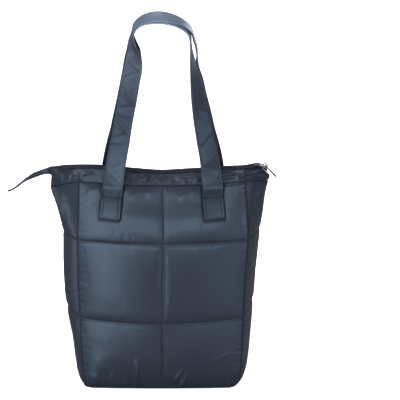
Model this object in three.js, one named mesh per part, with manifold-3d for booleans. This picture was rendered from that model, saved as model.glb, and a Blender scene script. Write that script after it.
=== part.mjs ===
// Quilted shoulder bag, hanging by its two straps.
// Millimetres, +Z up, +X to the right and the front facing -Y. The origin is under the crown of the straps.

import * as THREE from "three";
import { mergeVertices } from "three/addons/utils/BufferGeometryUtils.js";
import Module from "manifold-3d";

const wasm = await Module();
wasm.setup();

// Driving dimensions. Heights are measured up from the base.
const HANG_HEIGHT = 560;
const GAP = 0.3;
const WALL = 2;
const TOP_SEAM = 313;
const QUILT_LEVELS = [0, 110, 231.5, TOP_SEAM];
const PANEL_PUFF = 6.5;
const GUSSET_PUFF = 4;
const PILLOW_POWER = 2.6;
const LOWER_EDGE = 30;

const STRAP_WIDTH = 31;
const STRAP_THICK = 2;
const TAB_LOW = 266;
const TAB_HIGH = 297;
const TAB_PRESS = 1.2;
const ARCH_RISE = 30;
const CROWN_APART = 2.5;
const CROWN_SPREAD = 3.1;
const ARCH_LEAN = 4.5;
const ARCH_TURN_END = 0.35;
const ARCH_TILT = THREE.MathUtils.degToRad(6);

const BAND_SLOT = 7;
const BAND_TIP = 0.6;
const BAND_LEFT = 165;
const BAND_RIGHT = 156;
const BAND_INSET = 3;
const BAND_END_SWELL = 4;
const BAND_ROUND = 0.6;
const SLOT_POWER = 12;
const END_SHARE = 0.9;
const BAND_DIP = 3;
const BAND_DIP_START = 126;

const TAPE_INNER = 2.8;
const TAPE_OUTER = 9;
const TAPE_THICK = 1.2;
const TEETH_HALF = 2.4;
const TEETH_RISE = 1.3;
const ZIP_LEFT = -161;
const ZIP_RIGHT = 157;
const ZIP_BEND = 132;
const TEETH_LEFT = -155;
const TEETH_RIGHT = 146.2;

const SLIDER_X = 152;
const SLIDER_TILT = THREE.MathUtils.degToRad(40);
const SLIDER_HALF = 5;
const PLATE_LOW = 1.2;
const PLATE_HIGH = 2.3;
const BRIDGE_HALF = 0.8;
const PIVOT_HEIGHT = 3.9;
const PULLER_LENGTH = 24;
const PULLER_HALF = 2.3;
const PULLER_THICK = 1.4;
const GRIP_THICK = 2.6;
const PULLER_REST = THREE.MathUtils.degToRad(8);

// Body sections from the base to the top seam.
// left, right, depth: the four upright seams. bulge: crown of the front and back panel.
// leftBulge, rightBulge, power: crown of the gussets.
const SECTIONS = [
  { z: 0, left: 104, right: 100, depth: 44, bulge: 0, leftBulge: 0, rightBulge: 0, power: 2 },
  { z: 3, left: 113, right: 108, depth: 50, bulge: 2, leftBulge: 2, rightBulge: 2, power: 2 },
  { z: 10, left: 118, right: 114, depth: 54, bulge: 5, leftBulge: 5, rightBulge: 6, power: 2 },
  { z: 30, left: 119.5, right: 117.5, depth: 55, bulge: 9, leftBulge: 7, rightBulge: 7.5, power: 2 },
  { z: 66, left: 121.5, right: 119.5, depth: 55, bulge: 12, leftBulge: 10, rightBulge: 9.5, power: 2 },
  { z: 110, left: 123, right: 121.5, depth: 55, bulge: 15.5, leftBulge: 18, rightBulge: 12.5, power: 2 },
  { z: 165, left: 125.5, right: 125, depth: 55, bulge: 16.5, leftBulge: 19, rightBulge: 12, power: 2 },
  { z: 231.5, left: 126.5, right: 128, depth: 54, bulge: 16, leftBulge: 21, rightBulge: 17, power: 1.9 },
  { z: 265, left: 125.5, right: 127, depth: 49, bulge: 13, leftBulge: 30, rightBulge: 24, power: 1.6 },
  { z: 290, left: 125, right: 125, depth: 43, bulge: 9, leftBulge: 38, rightBulge: 30, power: 1.4 },
  { z: TOP_SEAM, left: 124.5, right: 123, depth: 37, bulge: 8, leftBulge: 43, rightBulge: 35, power: 1.3 },
];

// Height of the top seam above its level, from the tail end to the slider end
const SEAM_LIFT = [
  { x: -168, lift: -10.5 },
  { x: -154, lift: -6.3 },
  { x: -138, lift: 1.2 },
  { x: -116, lift: 4.2 },
  { x: -93, lift: 3.7 },
  { x: -45, lift: 1.2 },
  { x: 0, lift: 1 },
  { x: 45, lift: 1.4 },
  { x: 88, lift: 3.5 },
  { x: 121, lift: 5.4 },
  { x: 133, lift: 5 },
  { x: 144, lift: 2.4 },
  { x: 158, lift: -2.2 },
];

// Pleats pressed into each gusset under the band. across runs from -1 at the front seam to 1 at the back seam.
const GUSSET_PLEATS = [
  { across: 0, width: 0.16, depth: 6, low: 238, high: 311 },
  { across: -0.52, width: 0.14, depth: 3, low: 252, high: 311 },
  { across: 0.52, width: 0.14, depth: 3, low: 252, high: 311 },
];

// Zip line along the ridge, from the tail end to the slider end.
const RIDGE = [
  { x: -165, z: 326.5 },
  { x: -150, z: 329.4 },
  { x: -135, z: 330.8 },
  { x: -100, z: 331.6 },
  { x: -75, z: 330 },
  { x: -30, z: 325.6 },
  { x: 0, z: 323.8 },
  { x: 34, z: 325.6 },
  { x: 75, z: 328 },
  { x: 100, z: 329.8 },
  { x: 125, z: 331.2 },
  { x: 140, z: 334 },
  { x: 147, z: 333.4 },
  { x: 152, z: 330 },
  { x: 157, z: 325.8 },
];

// Free legs of a strap, from the sewn tabs to the feet of the arch.
// left, right: distance from the middle of the bag. apart: distance from its middle plane.
// Turn: degrees that the strap is twisted from facing forward. Spread: how much wider the back strap runs.
const STRAP_LEGS = [
  { z: 306, left: 74.6, leftTurn: 3, leftSpread: 2.5, right: 75.8, rightTurn: 3, rightSpread: 2.5, apart: 48.5 },
  { z: 330, left: 71.2, leftTurn: 10, leftSpread: 2.5, right: 73, rightTurn: 10, rightSpread: 2.5, apart: 44.5 },
  { z: 355, left: 67.4, leftTurn: 17, leftSpread: 2.2, right: 69.6, rightTurn: 22, rightSpread: 2, apart: 40.3 },
  { z: 382, left: 62.3, leftTurn: 23, leftSpread: 1.5, right: 64.4, rightTurn: 29, rightSpread: 1.2, apart: 35.7 },
  { z: 412, left: 57.3, leftTurn: 27, leftSpread: 1, right: 59.2, rightTurn: 34, rightSpread: 0.7, apart: 30.7 },
  { z: 441, left: 51.5, leftTurn: 28, leftSpread: 1, right: 54, rightTurn: 46, rightSpread: 0.6, apart: 26 },
  { z: 471, left: 46.3, leftTurn: 31, leftSpread: 1, right: 49.8, rightTurn: 59, rightSpread: 1.2, apart: 21.3 },
  { z: 486, left: 43.2, leftTurn: 34, leftSpread: 1.2, right: 47.5, rightTurn: 63, rightSpread: 3, apart: 19 },
  { z: 501, left: 40.7, leftTurn: 47, leftSpread: 1.7, right: 45, rightTurn: 73, rightSpread: 5.8, apart: 17 },
  { z: 516, left: 41.3, leftTurn: 64, leftSpread: 3, right: 44.2, rightTurn: 83, rightSpread: 6, apart: 15 },
  { z: 530, left: 43, leftTurn: 74, leftSpread: 4, right: 44.4, rightTurn: 88, rightSpread: 4.4, apart: 13.5 },
];

// The two straps. spread: share of the wider run, so that the back strap lies over the front one at the crown.
const STRAPS = [
  { name: "front_strap", side: -1, tab: 77, spread: 0 },
  { name: "back_strap", side: 1, tab: 79.5, spread: 1 },
];

// Zip tail past the left end of the bag. roll: degrees that its front edge is turned down.
const TAIL = [
  { x: -160, z: 329.3, width: 24, roll: 4 },
  { x: -166, z: 327.8, width: 28, roll: 7 },
  { x: -171, z: 325.9, width: 28, roll: 7.5 },
  { x: -177, z: 324.8, width: 28, roll: 3.5 },
  { x: -184, z: 322.2, width: 26, roll: 3.5 },
  { x: -194, z: 317, width: 22, roll: 2.5 },
  { x: -201, z: 313, width: 20, roll: -5 },
  { x: -207, z: 309.6, width: 19, roll: -14 },
  { x: -213.5, z: 304, width: 18, roll: -11 },
  { x: -220.5, z: 299, width: 18, roll: -12 },
  { x: -233, z: 294.5, width: 18, roll: -14 },
];
const TAIL_THICK = 1.4;
const TAIL_ROOT = -161.6;
const TAIL_END = -230;
const TAIL_TAB_START = -204;
const TAIL_TAB_WALL = 0.8;

// Materials
const nylon = new THREE.MeshStandardMaterial({ color: 0x46505f, roughness: 0.45, metalness: 0 });
const webbing = new THREE.MeshStandardMaterial({ color: 0x4a5463, roughness: 0.5, metalness: 0 });
const tapeCloth = new THREE.MeshStandardMaterial({ color: 0x2a2c35, roughness: 0.8, metalness: 0 });
const teethPlastic = new THREE.MeshStandardMaterial({ color: 0x22242b, roughness: 0.5, metalness: 0 });
const metal = new THREE.MeshStandardMaterial({ color: 0xb4b6b8, roughness: 0.28, metalness: 1 });

const point = (x, y, z) => new THREE.Vector3(x, y, z);
const mix = THREE.MathUtils.lerp;
const smooth = (low, high, value) => THREE.MathUtils.smoothstep(value, low, high);

// Smooth value of one table column at a place in its key column
function lookUp(table, key, place, column) {
  const last = table.length - 1;
  let row = 0;
  while (row < last - 1 && (place - table[row + 1][key]) * (table[last][key] - table[0][key]) > 0) {
    row += 1;
  }
  const slope = (i) => {
    const before = table[Math.max(i - 1, 0)];
    const after = table[Math.min(i + 1, last)];
    return (after[column] - before[column]) / (after[key] - before[key]);
  };
  const from = table[row];
  const to = table[row + 1];
  const span = to[key] - from[key];
  const t = THREE.MathUtils.clamp((place - from[key]) / span, 0, 1);
  const easeIn = t * t * (3 - 2 * t);
  const startPull = t * (1 - t) * (1 - t) * span * slope(row);
  const endPull = t * t * (t - 1) * span * slope(row + 1);
  return mix(from[column], to[column], easeIn) + startPull + endPull;
}

const spaced = (from, to, steps) => Array.from({ length: steps + 1 }, (_, i) => mix(from, to, i / steps));

// Closed geometry from points and triangles, turned so that its faces point out
function closedGeometry(points, triangles) {
  let volume = 0;
  for (const [a, b, c] of triangles) {
    volume += points[a].dot(points[b].clone().cross(points[c])) / 6;
  }
  const turned = volume < 0 ? triangles.map(([a, b, c]) => [a, c, b]) : triangles;
  const geometry = new THREE.BufferGeometry();
  geometry.setAttribute("position", new THREE.Float32BufferAttribute(points.flatMap((p) => p.toArray()), 3));
  geometry.setIndex(turned.flat());
  return geometry;
}

// Wall between an outer and an inner grid of points, closed round its rim
function wall(outer, inner) {
  const rows = outer.length;
  const columns = outer[0].length;
  const points = [...outer.flat(), ...inner.flat()];
  const far = rows * columns;
  const at = (row, column) => row * columns + column;
  const triangles = [];
  const quad = (a, b, c, d) => triangles.push([a, b, c], [a, c, d]);
  for (let row = 0; row < rows - 1; row += 1) {
    for (let column = 0; column < columns - 1; column += 1) {
      const corners = [at(row, column), at(row, column + 1), at(row + 1, column + 1), at(row + 1, column)];
      quad(...corners);
      quad(...corners.map((corner) => corner + far).reverse());
    }
  }
  const rim = [];
  for (let column = 0; column < columns - 1; column += 1) rim.push(at(0, column));
  for (let row = 0; row < rows - 1; row += 1) rim.push(at(row, columns - 1));
  for (let column = columns - 1; column > 0; column -= 1) rim.push(at(rows - 1, column));
  for (let row = rows - 1; row > 0; row -= 1) rim.push(at(row, 0));
  rim.forEach((a, i) => {
    const b = rim[(i + 1) % rim.length];
    quad(b, a, a + far, b + far);
  });
  return closedGeometry(points, triangles);
}

// Flat strip through stations that give its middle, its direction across, its upper side and its size
function strip(stations) {
  const rings = stations.map(({ middle, across, up, width, thick }) => {
    const corner = (a, u) => {
      const edge = middle.clone().addScaledVector(across, a * width / 2);
      return edge.addScaledVector(up, u * thick / 2);
    };
    return [corner(-1, 1), corner(1, 1), corner(1, -1), corner(-1, -1)];
  });
  const triangles = [[0, 1, 2], [0, 2, 3]];
  for (let ring = 0; ring < rings.length - 1; ring += 1) {
    for (let side = 0; side < 4; side += 1) {
      const a = ring * 4 + side;
      const b = ring * 4 + (side + 1) % 4;
      triangles.push([b, a, a + 4], [b, a + 4, b + 4]);
    }
  }
  const end = (rings.length - 1) * 4;
  triangles.push([end, end + 2, end + 1], [end, end + 3, end + 2]);
  return closedGeometry(rings.flat(), triangles);
}

// Joins and cuts
function toManifold(geometry) {
  const bare = geometry.clone();
  bare.deleteAttribute("normal");
  bare.deleteAttribute("uv");
  const merged = mergeVertices(bare, 1e-4);
  return new wasm.Manifold(new wasm.Mesh({
    numProp: 3,
    vertProperties: new Float32Array(merged.attributes.position.array),
    triVerts: new Uint32Array(merged.index.array),
  }));
}

function fromManifold(manifold) {
  const mesh = manifold.getMesh();
  const geometry = new THREE.BufferGeometry();
  geometry.setAttribute("position", new THREE.Float32BufferAttribute(mesh.vertProperties, 3));
  geometry.setIndex([...mesh.triVerts]);
  return geometry;
}

function joined(geometries) {
  return fromManifold(geometries.map(toManifold).reduce((whole, piece) => whole.add(piece)));
}

function cut(geometry, cutter) {
  return fromManifold(toManifold(geometry).subtract(toManifold(cutter)));
}

// Body sections and quilting
function section(z, inset) {
  const at = (column) => lookUp(SECTIONS, "z", z, column);
  return {
    left: at("left") - inset,
    right: at("right") - inset,
    depth: at("depth") - inset,
    bulge: at("bulge"),
    leftBulge: at("leftBulge"),
    rightBulge: at("rightBulge"),
    power: at("power"),
  };
}

// Point at a place across the bag, raised with the top seam above it
function raised(x, y, z) {
  return point(x, y, z + lookUp(SEAM_LIFT, "x", x, "lift") * smooth(QUILT_LEVELS[2], TOP_SEAM, z));
}

const pillow = (share) => 1 - Math.abs(2 * share - 1) ** PILLOW_POWER;

function quiltRow(z) {
  const row = QUILT_LEVELS.findLastIndex((level) => level <= z);
  const low = Math.min(row, QUILT_LEVELS.length - 2);
  return pillow((z - QUILT_LEVELS[low]) / (QUILT_LEVELS[low + 1] - QUILT_LEVELS[low]));
}

function panelPuff(across, z) {
  const share = across < 0 ? across + 1 : across;
  return PANEL_PUFF * pillow(share) * quiltRow(z);
}

// Point on the front (side -1) or back (side 1) panel, across from -1 at the left seam to 1 at the right seam
function panelPoint(side, across, z, inset, puff) {
  const { left, right, depth, bulge } = section(z, inset);
  const x = mix(-left, right, (across + 1) / 2);
  return raised(x, side * (depth + bulge * (1 - across * across) + puff), z);
}

function pleat(across, z) {
  let depth = 0;
  for (const fold of GUSSET_PLEATS) {
    const along = THREE.MathUtils.clamp((z - fold.low) / (fold.high - fold.low), 0, 1);
    depth += fold.depth * Math.exp(-(((across - fold.across) / fold.width) ** 2)) * Math.sin(Math.PI * along);
  }
  return depth;
}

// Point on the left (side -1) or right (side 1) gusset, across from -1 at the front seam to 1 at the back seam
function gussetPoint(side, across, z, inset, puff) {
  const { left, right, depth, leftBulge, rightBulge, power } = section(z, inset);
  const half = side < 0 ? left : right;
  const bulge = side < 0 ? leftBulge : rightBulge;
  const x = half + bulge * (1 - Math.abs(across) ** power) + puff;
  return raised(side * x, across * depth, z);
}

// Grid steps, and the heights of the grid rows, closer together round the lower edge
const PANEL_STEPS = 16;
const GUSSET_STEPS = 12;
const BAND_STEPS = 4;
const LEG_STEPS = 12;
const ARCH_STEPS = 18;
const LEVELS = [
  0, 3, 10,
  ...spaced(24, QUILT_LEVELS[1], 4),
  ...spaced(QUILT_LEVELS[1], QUILT_LEVELS[2], 7).slice(1),
  ...spaced(QUILT_LEVELS[2], TOP_SEAM, 5).slice(1),
];
const innerLift = (z) => point(0, 0, WALL * (1 - smooth(0, LOWER_EDGE, z)));

function panelGeometry(side) {
  const columns = spaced(-1, 1, PANEL_STEPS);
  const trim = 1 - GAP / SECTIONS[0].left;
  const outer = LEVELS.map((z) => columns.map((across) =>
    panelPoint(side, across * trim, z, 0, panelPuff(across, z))));
  const inner = LEVELS.map((z) => columns.map((across) =>
    panelPoint(side, across * trim, z, WALL, 0).add(innerLift(z))));
  return wall(outer, inner);
}

function gussetGeometry(side) {
  const columns = spaced(-1, 1, GUSSET_STEPS);
  const trim = 1 - GAP / SECTIONS[0].depth;
  const outer = LEVELS.map((z) => columns.map((across) => {
    const puff = GUSSET_PUFF * pillow((across + 1) / 2) * quiltRow(z);
    return gussetPoint(side, across * trim, z, 0, puff - pleat(across, z));
  }));
  const inner = LEVELS.map((z) => columns.map((across) =>
    gussetPoint(side, across * trim, z, WALL, -pleat(across, z)).add(innerLift(z))));
  return wall(outer, inner);
}

function baseGeometry() {
  const { left, right, depth } = SECTIONS[0];
  const sheet = (inset, z) => [-1, 1].map((back) => [
    point(-left + inset, back * (depth - inset), z),
    point(right - inset, back * (depth - inset), z),
  ]);
  return wall(sheet(GAP, 0), sheet(GAP + WALL, WALL));
}

// Top band: from the top seam up and in to the slot where the zip lies
const ridgeHeight = (x) => lookUp(RIDGE, "x", x, "z");

function bandEdge(side, tipShare) {
  const half = mix(BAND_SLOT, BAND_TIP, Math.abs(tipShare) ** SLOT_POWER);
  const edge = tipShare * (tipShare < 0 ? BAND_LEFT : BAND_RIGHT);
  const dip = BAND_DIP * smooth(BAND_DIP_START, BAND_RIGHT, edge);
  return point(edge, side * half, ridgeHeight(edge) - dip);
}

function bandGeometry(side) {
  const foot = (inset) => {
    const gusset = (end) => spaced(0, 1, GUSSET_STEPS / 2).map((share) => {
      const corner = gussetPoint(end, side * share, TOP_SEAM, inset, 0);
      return corner.setY(side * Math.max(Math.abs(corner.y), GAP));
    });
    const inside = spaced(-1, 1, PANEL_STEPS).slice(1, -1);
    const panel = inside.map((across) => panelPoint(side, across, TOP_SEAM, inset, 0));
    return [...gusset(-1), ...panel, ...gusset(1).reverse()];
  };
  const outerFoot = foot(0);
  const innerFoot = foot(BAND_INSET);
  const tip = (x) => (x < 0 ? -outerFoot[0].x : outerFoot[outerFoot.length - 1].x);
  const edges = outerFoot.map((p) => bandEdge(side, p.x / tip(p.x)));
  const rise = (bottom, top, share) => {
    const inward = mix(share, 1 - Math.cos(share * Math.PI / 2), BAND_ROUND);
    const upward = mix(share, Math.sin(share * Math.PI / 2), BAND_ROUND);
    const swell = BAND_END_SWELL * smooth(BAND_DIP_START, BAND_RIGHT, bottom.x) * Math.sin(share * Math.PI);
    const x = mix(bottom.x, top.x, inward) + swell;
    return point(x, mix(bottom.y, top.y, inward), mix(bottom.z, top.z, upward));
  };
  const rows = spaced(0, 1, BAND_STEPS);
  const seamLift = point(0, 0, GAP);
  const outer = rows.map((share) => outerFoot.map((p, i) => rise(p.clone().add(seamLift), edges[i], share)));
  const inner = rows.map((share) => innerFoot.map((p, i) => {
    const top = edges[i].clone();
    const reach = top.x < 0 ? BAND_LEFT : BAND_RIGHT;
    top.x -= Math.sign(top.x) * smooth(END_SHARE, 1, Math.abs(top.x) / reach) * WALL;
    top.z -= WALL;
    return rise(p.clone().add(seamLift), top, share);
  }));
  return wall(outer, inner);
}

// Zip tapes and teeth along the ridge
const TAPE_LIFT = GAP + TAPE_THICK / 2;

function ridgeStations(from, to, steps, y, width, thick) {
  const lifted = (x) => point(x, y, ridgeHeight(x) + TAPE_LIFT);
  return spaced(from, to, steps).map((x) => {
    const along = lifted(x + 0.5).sub(lifted(x - 0.5)).normalize();
    const across = point(0, 1, 0);
    return { middle: lifted(x), across, up: along.clone().cross(across), width, thick };
  });
}

function tapeGeometry(side) {
  const middle = side * (TAPE_INNER + TAPE_OUTER) / 2;
  const width = TAPE_OUTER - TAPE_INNER;
  const level = ridgeStations(ZIP_LEFT, ZIP_BEND, 20, middle, width, TAPE_THICK);
  const bend = ridgeStations(ZIP_BEND, ZIP_RIGHT, 9, middle, width, TAPE_THICK);
  return strip([...level, ...bend.slice(1)]);
}

function teethGeometry() {
  return strip(ridgeStations(TEETH_LEFT, TEETH_RIGHT, 26, 0, 2 * TEETH_HALF, 2 * TEETH_RISE));
}

// Slider: two plates joined by a post, with a bridge on top. Built flat, x along the zip.
function box(fromX, toX, halfY, fromZ, toZ) {
  const geometry = new THREE.BoxGeometry(toX - fromX, 2 * halfY, toZ - fromZ);
  return geometry.translate((fromX + toX) / 2, 0, (fromZ + toZ) / 2);
}

function sliderGeometry() {
  const closedEnd = 2.9;
  const openEnd = 4;
  const sink = 0.2;
  const archOuter = 3.5;
  const archInner = 2.3;
  const archTop = 6.6;
  const archUnder = 5.4;
  const archBend = 1.6;
  const outline = new THREE.Shape();
  outline.moveTo(-SLIDER_HALF, -closedEnd);
  outline.lineTo(-1, -closedEnd);
  outline.quadraticCurveTo(1, -closedEnd, SLIDER_HALF - 2, -openEnd);
  outline.quadraticCurveTo(SLIDER_HALF, -openEnd, SLIDER_HALF, 0);
  outline.quadraticCurveTo(SLIDER_HALF, openEnd, SLIDER_HALF - 2, openEnd);
  outline.quadraticCurveTo(1, closedEnd, -1, closedEnd);
  outline.lineTo(-SLIDER_HALF, closedEnd);
  const plate = { depth: PLATE_HIGH - PLATE_LOW, bevelEnabled: false, curveSegments: 4 };
  const upper = new THREE.ExtrudeGeometry(outline, plate).translate(0, 0, PLATE_LOW);
  const lower = new THREE.ExtrudeGeometry(outline, plate).translate(0, 0, -PLATE_HIGH);
  const postFrom = 2.2;
  const postTo = 4.2;
  const postHalf = 1.2;
  const post = box(postFrom, postTo, postHalf, -PLATE_LOW - sink, PLATE_LOW + sink);
  const bridgeSide = new THREE.Shape();
  bridgeSide.moveTo(-archOuter, PLATE_HIGH - sink);
  bridgeSide.lineTo(-archOuter, archTop - archBend);
  bridgeSide.quadraticCurveTo(-archOuter, archTop, archBend - archOuter, archTop);
  bridgeSide.lineTo(archOuter - archBend, archTop);
  bridgeSide.quadraticCurveTo(archOuter, archTop, archOuter, archTop - archBend);
  bridgeSide.lineTo(archOuter, PLATE_HIGH - sink);
  bridgeSide.lineTo(archInner, PLATE_HIGH - sink);
  bridgeSide.lineTo(archInner, archUnder);
  bridgeSide.lineTo(-archInner, archUnder);
  bridgeSide.lineTo(-archInner, PLATE_HIGH - sink);
  const bar = { depth: 2 * BRIDGE_HALF, bevelEnabled: false, curveSegments: 4 };
  const bridge = new THREE.ExtrudeGeometry(bridgeSide, bar);
  bridge.rotateX(Math.PI / 2).translate(0, BRIDGE_HALF, 0);
  return joined([upper, lower, post, bridge]);
}

// Puller: a flat plate with a rounded end and a slot, whose end bar lies under the bridge
function pullerGeometry() {
  const barHalf = 0.75;
  const slotEnd = 5.2;
  const slotHalf = 1.25;
  const neckHalf = 1.5;
  const shoulder = slotEnd + 1;
  const neckBend = slotEnd + 3;
  const neck = slotEnd + 6;
  const flare = PULLER_LENGTH - 8;
  const tip = PULLER_LENGTH - PULLER_HALF;
  const outline = new THREE.Shape();
  outline.moveTo(-barHalf, -PULLER_HALF);
  outline.lineTo(shoulder, -PULLER_HALF);
  outline.quadraticCurveTo(neckBend, -neckHalf, neck, -neckHalf);
  outline.quadraticCurveTo(flare, -PULLER_HALF, tip, -PULLER_HALF);
  outline.absarc(tip, 0, PULLER_HALF, -Math.PI / 2, Math.PI / 2, false);
  outline.quadraticCurveTo(flare, PULLER_HALF, neck, neckHalf);
  outline.quadraticCurveTo(neckBend, neckHalf, shoulder, PULLER_HALF);
  outline.lineTo(-barHalf, PULLER_HALF);
  const slot = new THREE.Path();
  slot.moveTo(barHalf, -slotHalf);
  slot.lineTo(barHalf, slotHalf);
  slot.lineTo(slotEnd, slotHalf);
  slot.lineTo(slotEnd, -slotHalf);
  outline.holes.push(slot);
  const grip = new THREE.Shape();
  grip.moveTo(neckBend, -neckHalf);
  grip.lineTo(neck, -neckHalf);
  grip.quadraticCurveTo(flare, -PULLER_HALF, tip, -PULLER_HALF);
  grip.absarc(tip, 0, PULLER_HALF, -Math.PI / 2, Math.PI / 2, false);
  grip.quadraticCurveTo(flare, PULLER_HALF, neck, neckHalf);
  grip.lineTo(neckBend, neckHalf);
  const plates = [[outline, PULLER_THICK], [grip, GRIP_THICK]].map(([shape, depth]) => {
    const plate = { depth, bevelEnabled: false, curveSegments: 5 };
    return new THREE.ExtrudeGeometry(shape, plate).translate(0, 0, -depth / 2);
  });
  return joined(plates);
}

// Zip tail and the cloth cap folded over its end
function tailStations(from, to, steps, extraWidth, thick) {
  const middle = (x) => point(x, 0, lookUp(TAIL, "x", x, "z"));
  return spaced(from, to, steps).map((x) => {
    const along = middle(x + 0.5).sub(middle(x - 0.5)).normalize();
    const roll = THREE.MathUtils.degToRad(lookUp(TAIL, "x", x, "roll"));
    const across = point(0, 1, 0).applyAxisAngle(along, -roll);
    const width = lookUp(TAIL, "x", x, "width") + extraWidth;
    return { middle: middle(x), across, up: along.clone().cross(across), width, thick };
  });
}

function tailTabGeometry() {
  const clear = 2 * GAP;
  const grown = clear + 2 * TAIL_TAB_WALL;
  const closedEnd = TAIL_END - GAP - TAIL_TAB_WALL;
  const cap = strip(tailStations(TAIL_TAB_START, closedEnd, 20, grown, TAIL_THICK + grown));
  const pocket = strip(tailStations(TAIL_TAB_START + 2, TAIL_END - GAP, 24, clear, TAIL_THICK + clear));
  return cut(cap, pocket);
}

// Straps. clearance widens the strip all round, for the room that a sewn end presses into its panel.
function sewnStations(strap, end, clearance) {
  return spaced(TAB_LOW - clearance, TAB_HIGH, 3).map((z) => {
    const { left, right } = section(z, 0);
    const share = (x) => 2 * (x + left) / (left + right) - 1;
    const lie = (x, height) => panelPuff(share(x), height) - TAB_PRESS;
    const surface = (x, height) => panelPoint(strap.side, share(x), height, 0, lie(x, height));
    const x = end * strap.tab;
    const across = surface(x + STRAP_WIDTH / 4, z).sub(surface(x - STRAP_WIDTH / 4, z)).normalize();
    const along = surface(x, z + STRAP_THICK).sub(surface(x, z - STRAP_THICK)).normalize();
    const up = across.clone().cross(along).normalize().multiplyScalar(-strap.side);
    const middle = surface(x, z).addScaledVector(up, STRAP_THICK / 2);
    return { middle, across: across.multiplyScalar(-strap.side * end), up };
  });
}

function legMiddles(strap, end) {
  const name = end < 0 ? "left" : "right";
  const heights = spaced(STRAP_LEGS[0].z, HANG_HEIGHT - ARCH_RISE, LEG_STEPS);
  return heights.map((z) => {
    const at = (column) => lookUp(STRAP_LEGS, "z", z, column);
    const x = at(name) + strap.spread * at(`${name}Spread`);
    return { middle: point(end * x, strap.side * at("apart"), z), turn: at(`${name}Turn`), tilt: 0 };
  });
}

function archMiddles(strap) {
  const foot = STRAP_LEGS[STRAP_LEGS.length - 1];
  const left = foot.left + strap.spread * foot.leftSpread;
  const right = foot.right + strap.spread * foot.rightSpread;
  const rise = ARCH_RISE + STRAP_THICK / 2 + strap.spread * CROWN_SPREAD;
  return spaced(0, Math.PI, ARCH_STEPS).slice(1, -1).map((angle) => {
    const height = Math.sin(angle);
    const x = mix(-left, right, (1 - Math.cos(angle)) / 2) - ARCH_LEAN * height ** 2;
    const y = strap.side * mix(foot.apart, CROWN_APART, height);
    const footTurn = Math.cos(angle) > 0 ? foot.leftTurn : foot.rightTurn;
    const turn = mix(footTurn, 90, smooth(0, ARCH_TURN_END, height));
    return { middle: point(x, y, HANG_HEIGHT - ARCH_RISE + rise * height), turn, tilt: ARCH_TILT * height ** 2 };
  });
}

function strapGeometry(strap, clearance) {
  const free = [...legMiddles(strap, -1), ...archMiddles(strap), ...legMiddles(strap, 1).reverse()];
  const stations = free.map(({ middle, turn, tilt }, i) => {
    const before = free[Math.max(i - 1, 0)].middle;
    const after = free[Math.min(i + 1, free.length - 1)].middle;
    const along = after.clone().sub(before).normalize();
    const twist = THREE.MathUtils.degToRad(turn);
    const outward = Math.sign(middle.x) * -strap.side * Math.cos(twist);
    const across = point(outward, Math.sin(twist), Math.tan(tilt));
    across.addScaledVector(along, -across.dot(along)).normalize();
    return { middle, across, up: along.clone().cross(across) };
  });
  const leftEnd = sewnStations(strap, -1, clearance);
  const rightEnd = sewnStations(strap, 1, clearance).reverse();
  const whole = [...leftEnd, ...stations, ...rightEnd];
  const width = STRAP_WIDTH + 2 * clearance;
  const thick = STRAP_THICK + 2 * clearance;
  return strip(whole.map((station) => ({ ...station, width, thick })));
}

// Assembly
const bag = new THREE.Group();
bag.position.z = -HANG_HEIGHT;

function addPiece(parent, name, geometry, material) {
  const mesh = new THREE.Mesh(geometry, material);
  mesh.name = name;
  parent.add(mesh);
  return mesh;
}

addPiece(bag, "front_panel", cut(panelGeometry(-1), strapGeometry(STRAPS[0], GAP)), nylon);
addPiece(bag, "back_panel", cut(panelGeometry(1), strapGeometry(STRAPS[1], GAP)), nylon);
addPiece(bag, "left_gusset", gussetGeometry(-1), nylon);
addPiece(bag, "right_gusset", gussetGeometry(1), nylon);
addPiece(bag, "base_panel", baseGeometry(), nylon);
addPiece(bag, "front_band", bandGeometry(-1), nylon);
addPiece(bag, "back_band", bandGeometry(1), nylon);
addPiece(bag, "zip_tape_front", tapeGeometry(-1), tapeCloth);
addPiece(bag, "zip_tape_back", tapeGeometry(1), tapeCloth);
addPiece(bag, "zip_teeth", teethGeometry(), teethPlastic);
addPiece(bag, "zip_tail", strip(tailStations(TAIL_ROOT, TAIL_END, 44, 0, TAIL_THICK)), webbing);
addPiece(bag, "tail_tab", tailTabGeometry(), webbing);
for (const strap of STRAPS) {
  addPiece(bag, strap.name, strapGeometry(strap, 0), webbing);
}

const zipEnd = new THREE.Group();
zipEnd.position.set(SLIDER_X, 0, ridgeHeight(SLIDER_X) + TAPE_LIFT);
zipEnd.rotation.y = SLIDER_TILT;
bag.add(zipEnd);
addPiece(zipEnd, "zip_slider", sliderGeometry(), metal);
const puller = addPiece(zipEnd, "zip_puller", pullerGeometry(), metal);
puller.position.z = PIVOT_HEIGHT;
puller.rotation.y = PULLER_REST;

const shoulderBag = new THREE.Group();
shoulderBag.add(bag);

export default shoulderBag;
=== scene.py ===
# Quilted shoulder bag: the looks of the bag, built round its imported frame.
# Metres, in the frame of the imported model.
# The constants and tables of the bag are in millimetres, with heights above its base.

import itertools
import math

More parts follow.
